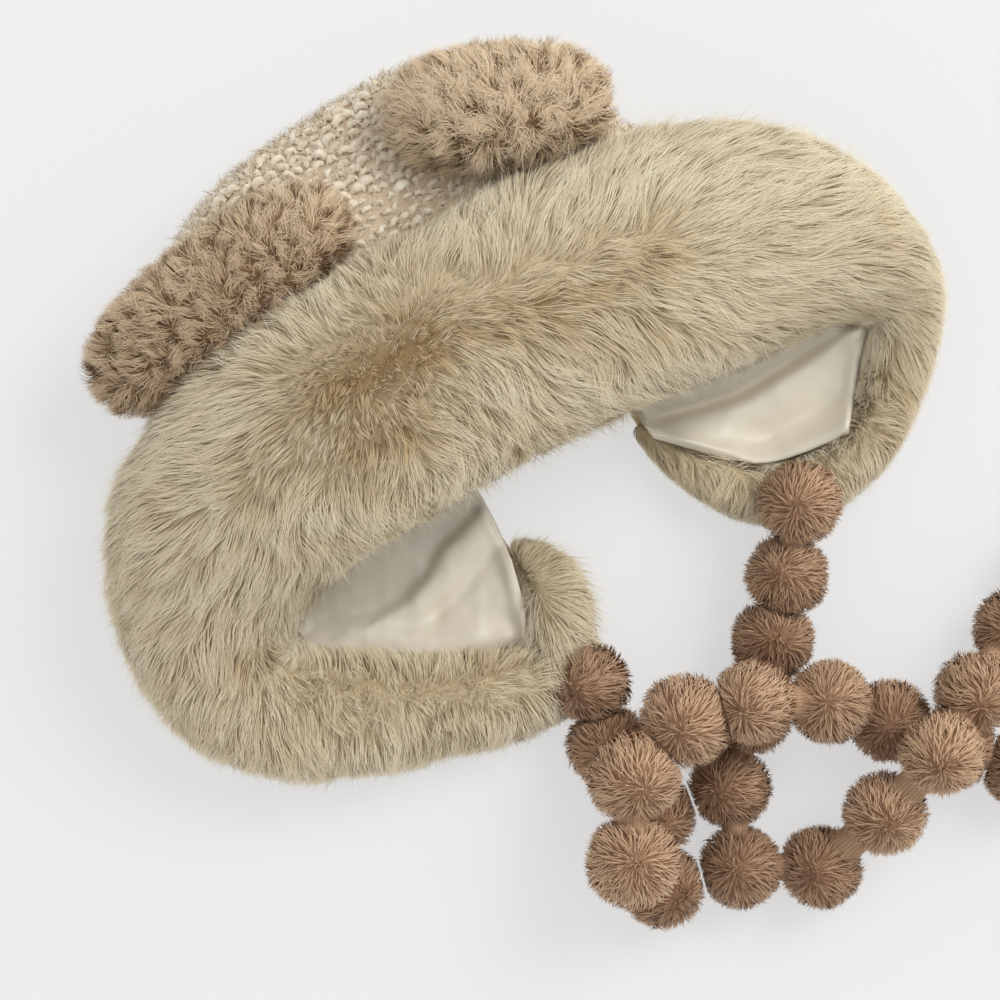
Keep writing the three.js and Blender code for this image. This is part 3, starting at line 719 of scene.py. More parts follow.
def roll_skin(batch, roll, s0, s1, side, mat_slot=0, around=40):
    """The fur's backing, a closed tube under the strands."""
    s = np.linspace(s0, s1, int((s1 - s0) * 5) + 2)
    a = np.linspace(0, 2 * math.pi, around, endpoint=False)
    S, A = np.meshgrid(s, a, indexing="ij")
    depth = fur_depth(column(roll.rows[:, 2], np.clip(S, 0, roll.last)))
    p = roll.point(S, A, depth)
    p[..., 2] = np.maximum(p[..., 2], 0.6)
    n = -grid_normals(p, True)
    if ((p - p.mean(1, keepdims=True)) * n).sum() < 0:
        n = -n
    uv = np.zeros(p.shape[:2] + (2,))
    uv[..., 0] = 0.2 + 0.6 * golden(p.reshape(-1, 3)[:, :2]).reshape(p.shape[:2]) + 0.012 * (np.arange(around) % 2)
    uv[..., 1] = 0.16 + 0.05 * (np.arange(len(s)) % 2)[:, None]
    f = grid_faces(len(s), around, wrap=True)
    test = np.cross(p[0, 1] - p[0, 0], p[1, 0] - p[0, 0])
    if np.dot(test, n[0, 0]) < 0:
        f = f[:, ::-1]
    batch.add(p, uv, n, None, f, mat_slot)
    for row, sign in ((0, 1), (len(s) - 1, -1)):
        ring = p[row]
        c = ring.mean(0)
        idx = np.arange(around)
        fan = np.stack([np.full(around, around), idx, (idx + 1) % around], -1)
        nn = np.tile(unit(np.cross(ring[1] - ring[0], ring[2] - ring[0])[None])[0], (around + 1, 1))
        batch.add(np.vstack([ring, c]), np.tile([0.3, 0.05], (around + 1, 1)) + rng(3).random((around + 1, 2)) * 0.02,
                  nn, fan, None, mat_slot)


def lay_fur(q, n, r, height, reach, free=0.0, lean=None):
    """Control points of strands from roots q with normals n, combed as COMB says,
    or along lean."""
    count = len(q)
    c = comb(q[:, :2]) if lean is None else lean
    c3 = np.concatenate([c, np.zeros((count, 1))], 1)
    # swirls that neighbours share, then each strand's own way
    swirl = (0.34 * waves(q, 46, 11) + 0.28 * waves(q, 17, 12) + 0.20 * waves(q, 8, 13)
             + (0.12 + free) * r.normal(size=count))
    c3 = np.stack([c3[:, 0] * np.cos(swirl) - c3[:, 1] * np.sin(swirl),
                   c3[:, 0] * np.sin(swirl) + c3[:, 1] * np.cos(swirl), c3[:, 2]], -1)
    t = c3 - (c3 * n).sum(1, keepdims=True) * n
    down = np.array([0, 0, -1.0]) + n[:, 2:3] * n
    side = np.clip(1 - np.abs(n[:, 2:3]) * 1.3, 0, 1)
    # fur that starts on the far side of its roll climbs over instead of hanging
    climbs = np.clip(-2.2 * (c3 * n).sum(1, keepdims=True), 0, 1)
    t = t * (1 - 0.3 * side) + 0.5 * down * side * (1 - climbs) + (0.07 + free) * r.normal(size=(count, 3))
    t = t - (t * n).sum(1, keepdims=True) * n
    size = np.linalg.norm(t, axis=1, keepdims=True)
    t = t / np.maximum(size, 1e-6)
    m = np.clip(size, 0.10, 1.0)
    h = (height * (1 + 0.12 * waves(q, 20, 5) + 0.06 * waves(q, 7, 6) + 0.05 * r.normal(size=count)))[:, None]
    w = (reach * (1 + 0.14 * r.normal(size=count)))[:, None]
    p1 = q + n * h * 0.80 + t * w * m * 0.30
    p2 = q + n * h * (1.06 - 0.06 * m) + t * w * m
    return p1, p2


def fur_strands(batch, roll, q, n, at, r, height, reach, width=0.33, every=38, pull=0.56, points=3,
                free=0.0, light=0.0, stray=0.012, lean=None, inner=0.0):
    g = golden(q[:, :2]) * (1 + 0.75 * waves(q, 8, 91, 2))
    # short, upright tufts where the fur parts
    height = height * (1 - 0.10 * g.clip(0, 1))
    p1, p2 = lay_fur(q, n, r, height, reach, free, lean)
    p1, p2, near = clump(q, p1, p2, n, every, pull, r, spread=0.42)
    t1, t2, _ = clump(q, p1, p2, n, 11, 0.75, r, spread=0.3)
    k = g.clip(0, 1)[:, None]
    p1, p2 = p1 + (t1 - p1) * k, p2 + (t2 - p2) * k
    # the fur follows the roll round, apart from a little fluff
    tip = np.where(column(roll.rows[:, 2], np.clip(at, 0, roll.last)) > 30, 0.955, 0.985)
    out = (tip + 0.030 * waves(q, 24, 33, 2) + 0.014 * waves(q, 9, 34, 2)
           + stray * np.abs(r.normal(size=len(q))))
    p1, p2 = roll.fit(p1, tip - 0.01, at), roll.fit(p2, out, at)
    per_clump = rng(77).random(len(q))[near]
    shade = (0.20 + 0.74 * g + 0.14 * (per_clump - 0.5) + (0.07 + 0.26 * k[:, 0]) * r.normal(size=len(q))
             + 0.14 * waves(q, 34, 21) - light)
    # beside a lining the shading normals tilt up, and the pile's colour is painted lighter there: painted light against
    # the shade under the roll
    face = unit(n + np.array([0, 0, 1.6]) * np.reshape(inner, (-1, 1)))
    shade = shade - 0.12 * np.reshape(inner, -1)
    ribbons(batch, q, p1, p2, face, width * r.uniform(0.75, 1.25, len(q)), shade.clip(0.02, 0.98), r,
            points=points, twist=0.28, keep=0.87)


def keep_fur(q, n, inset_clear=1.0):
    """Roots that aren't inside the crown or under the surface."""
    ok = q[:, 2] > 1.2
    ok &= ~in_crown(q, inset_clear)
    return ok


def fur_weight(p, n):
    up = n[:, 2]
    return np.where(up < -0.25, 0.28, np.where(up < 0.1, 0.75, 1.0))


def roll_fur(batch, roll, s0, s1, count, seed, accept=None, reach=19.0, guard=0.13, lean=None, wisps=0.085):
    """Two coats of fur over part of a roll: the dense one, and longer guard hair."""
    r = rng(seed)

    def fn(s, a):
        return roll.point(s, a, fur_depth(column(roll.rows[:, 2], np.clip(s, 0, roll.last))))

    s = np.linspace(s0, s1, int((s1 - s0) * 10) + 2)
    a = np.linspace(0, 2 * math.pi, 73)[:-1]
    q, n, ss, aa = sample_grid(fn, s, a, int(count * 1.5), r, fur_weight)
    n = np.where(((q - roll.axis(ss)) * n).sum(1, keepdims=True) < 0, -n, n)
    ok = keep_fur(q, n)
    if accept is not None:
        ok &= accept(q)
    q, n, ss, aa = q[ok][:count], n[ok][:count], ss[ok][:count], aa[ok][:count]
    inner = roll.slope(ss, np.cos(aa)) / 0.45
    depth = fur_depth(column(roll.rows[:, 2], np.clip(ss, 0, roll.last)))
    k = depth / 8.5
    g = int(len(q) * (1 - guard))
    to = lean(ss) if lean is not None else None
    fur_strands(batch, roll, q[:g], n[:g], ss[:g], r, depth[:g] + 0.3, reach * (0.45 + 0.55 * k[:g]),
                lean=None if to is None else to[:g], inner=inner[:g])
    fur_strands(batch, roll, q[g:], n[g:], ss[g:], r, depth[g:] * 1.16 + 0.4, 1.28 * reach * (0.45 + 0.55 * k[g:]),
                width=0.26, every=5, pull=0.3, points=4, free=0.10, light=0.10, stray=wisps,
                lean=None if to is None else to[g:], inner=inner[g:])


def build_band():
    """The forehead roll, in two pieces that meet on its middle."""
    made = []
    for part, (s0, s1, x_side) in enumerate(((6.0, 12.0, -1), (12.0, 18.0, 1))):
        batch = Batch()
        roll_skin(batch, band, s0 - 0.02, s1 + 0.02, 0)
        roll_fur(batch, band, s0, s1, int(50500 * THIN), 101 + part)
        print("band", part, batch.triangles())
        ob = batch.mesh(f"fur_band_{'ab'[part]}", [fur_mat])
        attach(ob, "root")
        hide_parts("fur_band")
        made.append(ob)
    return made


def leaf_mesh(batch, rows, height, slot):
    """A flap's padded leaf: a low slab with softened edges."""
    pts = np.array(rows, float)
    c = pts.mean(0)
    dense = []
    for i in range(len(pts)):
        a, b = pts[i], pts[(i + 1) % len(pts)]
        for t in np.linspace(0, 1, 6, endpoint=False):
            dense.append(a + (b - a) * t)
    ring = np.array(dense)
    prof = [(0.97, 0.5), (0.995, 1.6), (1.0, height * 0.5), (0.985, height - 0.8), (0.95, height)]
    rows_ = [np.column_stack([c[0] + (ring[:, 0] - c[0]) * k, c[1] + (ring[:, 1] - c[1]) * k, np.full(len(ring), z)])
             for k, z in prof]
    p = np.stack(rows_)
    n = grid_normals(p, True)
    if ((p - p.mean((0, 1))) * n).sum() < 0:
        n = -n
    uv = rng(5).random(p.shape[:2] + (2,)) * 0.02 + 0.5
    f = grid_faces(len(prof), len(ring), wrap=True)
    test = np.cross(p[0, 1] - p[0, 0], p[1, 0] - p[0, 0])
    if np.dot(test, n[0, 0]) < 0:
        f = f[:, ::-1]
    batch.add(p, uv, n, None, f, slot)
    for row, up in ((0, -1.0), (len(prof) - 1, 1.0)):
        m = len(ring)
        idx = np.arange(m)
        fan = np.stack([np.full(m, m), idx, (idx + 1) % m], -1)
        if up < 0:
            fan = fan[:, ::-1]
        area = 0.5 * np.sum(ring[:, 0] * np.roll(ring[:, 1], -1) - np.roll(ring[:, 0], -1) * ring[:, 1])
        if area < 0:
            fan = fan[:, ::-1]
        top = np.vstack([p[row], [[c[0], c[1], prof[row][1]]]])
        batch.add(top, rng(6).random((m + 1, 2)) * 0.02 + 0.5, np.tile([0, 0, up], (m + 1, 1)), fan, None, slot)


def build_flaps():
    for name, s0, s1, count, seed, leaf in (
        ("flap_left", -0.98, 6.0, 34000, 201, LEAF_LEFT),
        ("flap_right", 18.0, 25.98, 23000, 202, LEAF_RIGHT),
    ):
        batch = Batch()
        leaf_mesh(batch, leaf, 5.8, 1)
        roll_skin(batch, band, s0, s1, 0)
        if name == "flap_left":
            roll_skin(batch, front_edge, -0.9, front_edge.last + 0.9, 0, around=24)
            # swept out over the front edge, away from the lining
            ways = np.array([(0.62, 0.72), (0.95, 0.28), (0.97, -0.12), (0.80, -0.50)])
            roll_fur(batch, front_edge, -0.5, front_edge.last + 0.98, int(8500 * THIN), 205,
                     accept=lambda q: ~band.holds(q, -10), reach=21, guard=0.22, wisps=0.34,
                     lean=lambda at: np.stack(turned(np.interp(at, range(4), ways[:, 0]),
                                                     np.interp(at, range(4), ways[:, 1])), -1))
            roll_fur(batch, band, s0, s1, int(count * THIN), seed, accept=lambda q: ~front_edge.holds(q, -9))
        else:
            roll_fur(batch, band, s0, s1, int(count * THIN), seed)
        print(name, batch.triangles())
        ob = batch.mesh(name + "_fur", [fur_mat, felt_mat])
        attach(ob, "root")
        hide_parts(name)


# ------------------------------------------------------------------- ears
def build_ears():
    for k, (name, pad) in enumerate(ears.items()):
        r = rng(301 + k)
        batch = Batch()
        depth = 6.5 if name == "ear_left" else 7.5

        def fn(s_, a_):
            # fuller towards the ends than an ellipsoid, as the pile stands out there
            p_ = pad.point(s_, a_, depth)
            return p_

        s = np.linspace(0.02, math.pi - 0.02, 26)
        a = np.linspace(0, 2 * math.pi, 40, endpoint=False)
        S, A = np.meshgrid(s, a, indexing="ij")
        p = fn(S, A)
        n = unit(p - pad.c)
        p = p + n * (1.2 * waves(p.reshape(-1, 3), 11, 71 + k, 2)).reshape(p.shape[:2])[..., None]
        roof = crown_roof(p[..., 0], p[..., 1])
        p[..., 2] = np.maximum(p[..., 2], np.where(roof > -50, roof + 0.5, 0.6))
        f = grid_faces(len(s), len(a), wrap=True)
        if np.dot(np.cross(p[5, 1] - p[5, 0], p[6, 0] - p[5, 0]), n[5, 0]) < 0:
            f = f[:, ::-1]
        uv = np.zeros(p.shape[:2] + (2,))
        uv[..., 0] = 0.55 + 0.01 * (np.arange(len(a)) % 2)
        uv[..., 1] = 0.12 + 0.03 * (np.arange(len(s)) % 2)[:, None]
        batch.add(p, uv, n, None, f)
        q, n, ss, aa = sample_grid(fn, np.linspace(0.03, math.pi - 0.03, 60),
                                   np.linspace(0, 2 * math.pi, 73)[:-1], int(28000 * THIN), r)
        n = np.where(((q - pad.c) * n).sum(1, keepdims=True) < 0, -n, n)
        ok = ~in_crown(q, 0.5) & ~band.holds(q, -9) & (q[:, 2] > 1)
        q, n = q[ok][:int(18200 * THIN)], n[ok][:int(18200 * THIN)]
        # the pile leans away from the forehead roll and curls lock by lock
        out = unit(q - pad.c) * 0.5 + np.array([[0.0, 0.40, 0.0]])
        t = out - (out * n).sum(1, keepdims=True) * n
        curl = np.stack([waves(q, 9, 31 + j, 2) for j in range(3)], -1)
        t = t + (1.0 if name == "ear_left" else 0.8) * curl + 0.34 * r.normal(size=q.shape)
        t = t - (t * n).sum(1, keepdims=True) * n
        t = unit(t)
        h = depth * (1.04 + 0.22 * waves(q, 9, 41) + 0.12 * r.normal(size=len(q)))[:, None]
        w = (6.5 if name == "ear_left" else 9.0) * (1 + 0.35 * r.normal(size=len(q)))[:, None]
        bend = np.cross(n, t) * r.normal(0, 1.6, (len(q), 1))
        p1 = q + n * h * 0.75 + t * w * 0.1 + bend
        p2 = q + n * h * 1.0 + t * w * 0.9
        p1, p2, near = clump(q, p1, p2, n, 16, 0.6, r, spread=0.75)
        base = 0.46 if name == "ear_left" else -0.14
        # painted shade: the plush is coloured darker towards the forehead roll, which shades it; painted light: it is
        # coloured lighter towards its upper edge. The left ear is also coloured lighter towards its right end.
        low = 0.40 * np.clip((52 - q[:, 1]) / 20, 0, 1)
        shade = (base + low + 0.26 * (rng(5).random(len(q))[near] - 0.5) + 0.12 * r.normal(size=len(q))
                 - 0.36 * np.clip((q[:, 1] - 62) / 20, 0, 1) - 0.25 * np.clip((q[:, 0] + 50) / 30, 0, 1) * (k == 0))
        ribbons(batch, q, p1, p2, n, 0.36 * r.uniform(0.7, 1.3, len(q)), shade.clip(0.02, 0.98), r, points=3,
                twist=0.5, keep=0.75)
        print(name, batch.triangles())
        ob = batch.mesh(name + "_plush", [ear_mat])
        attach(ob, "root")
        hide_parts(name)


# ------------------------------------------------------------------- crown
def build_crown():
    r = rng(401)
    batch = Batch()
    last = len(CROWN["y"]) - 1
    wall = 4.0
    s = np.linspace(0, last, 42)
    a = np.linspace(0, 2 * math.pi, 90, endpoint=False)
    S, A = np.meshgrid(s, a, indexing="ij")
    outer = crown_point(S, A, 1.6)
    inner = crown_point(S, A, wall)
    inner[..., 1] = np.minimum(inner[..., 1], 100.0)
    rows = np.concatenate([outer[::-1], inner])
    n_out = grid_normals(outer, True)
    centre = outer.mean(1, keepdims=True)
    n_out = np.where(((outer - centre) * n_out).sum(-1, keepdims=True) < 0, -n_out, n_out)
    n_in = grid_normals(inner, True)
    n_in = np.where(((inner - centre) * n_in).sum(-1, keepdims=True) > 0, -n_in, n_in)
    n = np.concatenate([n_out[::-1], n_in])
    f = grid_faces(len(rows), len(a), wrap=True)
    i = 5
    test = np.cross(rows[i, 1] - rows[i, 0], rows[i + 1, 0] - rows[i, 0])
    if np.dot(test, n[i, 0]) < 0:
        f = f[:, ::-1]
    # coarse knit ribs inside, where only the shell shows
    rib = 0.5 * np.sin(np.arange(len(rows))[:, None] * 1.9) * np.cos(A[:1] * 60)
    rows = rows + n * rib[..., None]
    uv = np.zeros(rows.shape[:2] + (2,))
    uv[..., 0] = 0.45 + 0.02 * (np.arange(len(a)) % 2)
    # painted shade: the shell is coloured lighter on the rib crests and darker in the furrows between them
    uv[..., 1] = 0.42 + 0.16 * (0.5 + 0.5 * np.sin(np.arange(len(rows))[:, None] * 1.9) * np.cos(A[:1] * 60))
    uv[len(s):, :, 1] += 0.10
    batch.add(rows, uv, n, None, f)

    # stitches: rows of small purl bumps over the upper side and the edges
    sides, rings = 5, 5
    arch = np.linspace(0, math.pi, rings)
    ring = np.linspace(0, 2 * math.pi, sides, endpoint=False)
    spots, frames = [], []
    fine = np.linspace(0, last - 0.02, 800)
    line = crown_point(fine, np.full(800, math.pi / 2), 1.0)
    run = np.concatenate([[0], np.cumsum(np.linalg.norm(np.diff(line, axis=0), axis=1))])
    pitch_row, pitch_col = 4.6, 5.5
    for k in range(int(run[-1] / pitch_row)):
        s_k = np.interp((k + 0.5) * pitch_row, run, fine)
        low = column(CROWN["y"], s_k) < 18      # under the fur, apart from the edges
        aa = np.linspace(-0.35, math.pi + 0.35, 700)
        loop = crown_point(np.full(700, s_k), aa, 1.0)
        lr = np.concatenate([[0], np.cumsum(np.linalg.norm(np.diff(loop, axis=0), axis=1))])
        m = int(lr[-1] / pitch_col)
        if m < 3:
            continue
        at = (np.arange(m) + 0.5 + 0.5 * (k % 2)) * (lr[-1] / (m + 0.5))
        at = at + r.normal(0, 0.7, m)
        a_k = np.interp(at, lr, aa)
        s_j = np.full(m, s_k) + r.normal(0, 0.028, m)
        c = crown_point(s_j, a_k, 0.9)
        e = 1e-3
        along = unit(crown_point(s_j, a_k + e, 0.9) - crown_point(s_j, a_k - e, 0.9))
        up = unit(crown_point(s_j + e, a_k, 0.9) - crown_point(s_j - e, a_k, 0.9))
        nn = unit(np.cross(along, up))
        nn = np.where(((c - np.array([0, 20, 20])) * nn).sum(1, keepdims=True) < 0, -nn, nn)
        ok = (c[:, 2] > 1.5) & (np.linalg.norm(np.cross(along, up), axis=1) > 0.1)
        if low:
            ok &= (a_k < 0.6) | (a_k > math.pi - 0.6)
        spots.append(c[ok])
        frames.append(np.stack([along[ok], up[ok], nn[ok]], 1))
    c = np.concatenate(spots)
    fr = np.concatenate(frames)
    # the rows spread apart towards the closed end, so more bumps fill in there
    q, nn, s_j, a_j = sample_grid(lambda s_, a_: crown_point(s_, a_, 0.9), np.linspace(2.3, last - 0.03, 80),
                                  np.linspace(-0.35, math.pi + 0.35, 160), 5200, r, wrap=False)
    tree = KDTree(len(c))
    for k, p_ in enumerate(c):
        tree.insert(p_, k)
    tree.balance()
    free = [k for k in range(len(q)) if q[k, 2] > 1.5 and q[k, 1] > 18 and tree.find(q[k])[2] > 3.9]
    taken = np.zeros((0, 3))
    extra = []
    for k in free:
        if not len(taken) or np.linalg.norm(taken - q[k], axis=1).min() > 4.5:
            taken = np.vstack([taken, q[k]])
            extra.append(k)
    e = 1e-3
    s_j, a_j = s_j[extra], a_j[extra]
    along = unit(crown_point(s_j, a_j + e, 0.9) - crown_point(s_j, a_j - e, 0.9))
    nn = nn[extra]
    nn = np.where(((taken - np.array([0, 20, 20])) * nn).sum(1, keepdims=True) < 0, -nn, nn)
    along = unit(along - (along * nn).sum(1, keepdims=True) * nn)
    c = np.concatenate([c, taken])
    fr = np.concatenate([fr, np.stack([along, np.cross(nn, along), nn], 1)])
    m = len(c)
    turn = r.normal(0, 0.42, m)
    ax = fr[:, 0] * np.cos(turn)[:, None] + fr[:, 1] * np.sin(turn)[:, None]
    ay = np.cross(fr[:, 2], ax)
    size = r.uniform(0.72, 1.2, m)
    half_w, rise, fat = 2.2 * size, 1.5 * size * r.uniform(0.6, 1.3, m), 1.6 * size * r.uniform(0.8, 1.2, m)
    cx = -np.cos(arch)[None] * half_w[:, None]
    cz = np.sin(arch)[None] ** 0.8 * rise[:, None] - 0.7
    cy = -0.9 * np.sin(arch)[None] * np.ones((m, 1))
    centre = c[:, None] + ax[:, None] * cx[..., None] + ay[:, None] * cy[..., None] + fr[:, 2][:, None] * cz[..., None]
    along = unit(np.gradient(centre, axis=1))
    upn = unit(np.cross(along, ay[:, None]))
    sidev = unit(np.cross(upn, along))
    rad = fat[:, None] * (0.62 + 0.38 * np.sin(arch)[None])
    ringdir = np.cos(ring)[None, None, :, None] * sidev[:, :, None] + np.sin(ring)[None, None, :, None] * upn[:, :, None]
    v = centre[:, :, None] + ringdir * rad[:, :, None, None]
    v = v + 0.30 * r.normal(size=v.shape)
    shade0 = (0.14 + 0.22 * (r.random(m) ** 2) + 0.20 * np.clip(waves(c, 26, 55), 0, 1))
    uv = np.zeros((m, rings, sides, 2))
    uv[..., 0] = shade0[:, None, None] + 0.01 * (np.arange(sides) % 2)[None, None]
    # painted light and shade: each stitch is coloured lighter along the top of its arch and on its outward side, darker
    # where it dips in and underneath
    stitch_painted_light = 0.62 + 0.34 * np.clip(np.sin(arch)[None, :, None] * 0.6 + 0.4 * np.clip((ringdir * fr[:, 2][:, None, None]).sum(-1), -1, 1), -0.6, 1)
    uv[..., 1] = stitch_painted_light
    quad = []
    for i in range(rings - 1):
        for j in range(sides):
            k = (j + 1) % sides
            quad.append([i * sides + j, i * sides + k, (i + 1) * sides + k, (i + 1) * sides + j])
    quad = np.array(quad)
    per = rings * sides
    base = np.arange(m)[:, None, None] * per
    f4 = (base + quad[None]).reshape(-1, 4)
    t0 = v[0].reshape(-1, 3)
    w0 = np.cross(t0[quad[7][1]] - t0[quad[7][0]], t0[quad[7][3]] - t0[quad[7][0]])
    if np.dot(w0, ringdir[0].reshape(-1, 3)[quad[7][0]]) < 0:
        f4 = f4[:, ::-1]
    batch.add(v, uv.clip(0.01, 0.99), ringdir, None, f4)

    # fuzz: short hairs from the stitches
    count = int(17500 * THIN)
    pick = r.integers(0, m, count)
    root = c[pick] + ax[pick] * r.uniform(-2.4, 2.4, (count, 1)) + ay[pick] * r.uniform(-1.6, 1.6, (count, 1)) + fr[pick, 2] * r.uniform(0.3, 1.8, (count, 1))
    nn = fr[pick, 2]
    t = unit(ax[pick] * r.normal(size=(count, 1)) + ay[pick] * r.normal(size=(count, 1)))
    length = 5.2 * r.uniform(0.5, 1.4, (count, 1))
    p1 = root + nn * length * 0.5 + t * length * 0.2
    p2 = root + nn * length * r.uniform(0.35, 0.8, (count, 1)) + t * length * 0.85
    shade = (shade0[pick] + 0.10 + 0.26 * r.normal(size=count)).clip(0.02, 0.98)
    ribbons(batch, root, p1, p2, nn, 0.28 * r.uniform(0.7, 1.3, count), shade, r, points=3, twist=0.7, v_range=(0.5, 1.0), keep=0.8)
    print("crown", batch.triangles(), "stitches", m)
    ob = batch.mesh("crown_knit", [knit_mat])
    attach(ob, "root")
    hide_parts("crown")


# ----------------------------------------------------------------- linings
def patch_points(upper, lower, nu, nv, left=None, right=None):
    upper, lower = np.array(upper, float), np.array(lower, float)
    s = np.linspace(0, 1, nu)
    up = np.stack([column(upper[:, k], s * (len(upper) - 1)) for k in (0, 1)], -1)
    lo = np.stack([column(lower[:, k], s * (len(lower) - 1)) for k in (0, 1)], -1)
    v = np.linspace(0, 1, nv)[:, None, None]
    return up[None] * (1 - v) + lo[None] * v


def ridge(p, line, rise, spread, lean=0.0):
    """A soft fold along a line of pixels; lean makes one side of it steeper."""
    best, signed = np.full(p.shape[:2], 1e9), np.zeros(p.shape[:2])
    pts = [np.array(hat_xy(u, v, 12)) for u, v in line]
    for a, b in zip(pts, pts[1:]):
        d = b - a
        t = np.clip(((p - a) @ d) / (d @ d), 0, 1)
        off = p - a - t[..., None] * d
        dist = np.linalg.norm(off, axis=-1)
        sign = np.sign(d[0] * off[..., 1] - d[1] * off[..., 0])
        signed = np.where(dist < best, sign * dist, signed)
        best = np.minimum(dist, best)
    w = np.where(signed > 0, spread * (1 + lean), spread * (1 - lean))
    return rise * np.exp(-((signed / w) ** 2))


def side_of(p, line):
    """Distance from a line of pixels, positive on its left going along it."""
    pts = [np.array(hat_xy(u, v, 12)) for u, v in line]
    best, signed = np.full(p.shape[:2], 1e9), np.zeros(p.shape[:2])
    for a, b in zip(pts, pts[1:]):
        d = b - a
        t = np.clip(((p - a) @ d) / (d @ d), 0, 1)
        off = p - a - t[..., None] * d
        dist = np.linalg.norm(off, axis=-1)
        sign = np.sign(d[0] * off[..., 1] - d[1] * off[..., 0])
        signed = np.where(dist < best, sign * dist, signed)
        best = np.minimum(dist, best)
    return signed


def step_over(p, line, rise, soft):
    """One side of a line of pixels lies higher than the other, fading away from it."""
    signed = side_of(p, line)
    return rise / (1 + np.exp(-signed / soft)) * np.exp(-np.clip(signed, 0, None) / 26)


def climb(p, roll, s0, s1, rise, near=15.0):
    """How far a lining rises towards the fur roll that edges its flap."""
    s = np.linspace(s0, s1, 160)
    line = np.stack([column(roll.rows[:, k], s) for k in (0, 1)], -1)
    half = column(roll.rows[:, 2], s)
    d = np.linalg.norm(p[:, :, None] - line[None, None], axis=-1) - half
    return rise * np.clip(1 - (d.min(-1) + 3.0) / near, 0, 1) ** 2


def lining(name, upper, lower, bulge, heights, shade, nu=64, nv=44):
    p2 = patch_points(upper, lower, nu, nv)
    u, v = np.meshgrid(np.linspace(0, 1, nu), np.linspace(0, 1, nv))
    p2 = p2 + (bulge * (4 * v * (1 - v)) * u**3)[..., None] * np.array([1.0, 0.15])
    z = heights(p2)
    if name == "lining_left":
        z = z + np.maximum(climb(p2, band, 0.0, 6.0, 3.5), climb(p2, front_edge, 0.0, 3.0, 7.0, 8.0))
    else:
        z = z + climb(p2, band, 17.0, 25.0, 11.5)
    # a turned hem: the edge rolls down
    edge = np.minimum.reduce([(1 - u) * 90, (1 - v) * 60])
    z = z - 3.2 * np.exp(-((edge / 2.4) ** 1.5)) + 0.7 * np.exp(-(((edge - 5.0) / 2.4) ** 2))
    p = np.concatenate([p2, z[..., None]], -1)
    n = grid_normals(p, False)
    n = np.where(n[..., 2:3] < 0, -n, n)
    under = p - n * 0.9
    batch = Batch()
    f = grid_faces(nv, nu)
    if np.cross(p[0, 1] - p[0, 0], p[1, 0] - p[0, 0])[2] < 0:
        f = f[:, ::-1]
    edge = np.concatenate([np.arange(nu), np.arange(1, nv) * nu + nu - 1,
                           (nv - 1) * nu + np.arange(nu - 2, -1, -1), np.arange(nv - 2, 0, -1) * nu])
    k = nu * nv
    v = np.concatenate([p.reshape(-1, 3), under.reshape(-1, 3)])
    nxt = np.roll(edge, -1)
    rim = np.stack([edge, nxt, nxt + k, edge + k], -1)
    e0 = np.cross(v[rim[nu // 2][1]] - v[rim[nu // 2][0]], v[rim[nu // 2][3]] - v[rim[nu // 2][0]])
    inward = p2.reshape(-1, 2).mean(0) - v[rim[nu // 2][0]][:2]
    if np.dot(e0[:2], inward) > 0:
        rim = rim[:, ::-1]
    uv = np.stack(np.meshgrid(np.linspace(0.02, 0.48, nu), np.linspace(0.02, 0.98, nv)), -1).reshape(-1, 2)
    batch.add(v, np.concatenate([uv, uv + [0.5, 0]]), np.concatenate([n.reshape(-1, 3), -n.reshape(-1, 3)]),
              None, np.concatenate([f, f[:, ::-1] + k, rim]))
    ob = batch.mesh(name + "_satin", [satin_mat], split_normals=False)
    # the painted shade of the lining, stored per vertex as a colour attribute
    satin_painted_shade = shade(p2).reshape(-1)
    col = ob.data.color_attributes.new("satin_painted_shade", "FLOAT_COLOR", "POINT")
    rgba = np.ones((2 * k, 4), np.float32)
    rgba[:, :3] = np.concatenate([satin_painted_shade, satin_painted_shade])[:, None]
    col.data.foreach_set("color", rgba.ravel())
    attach(ob, "root")
    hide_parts(name)
    return ob


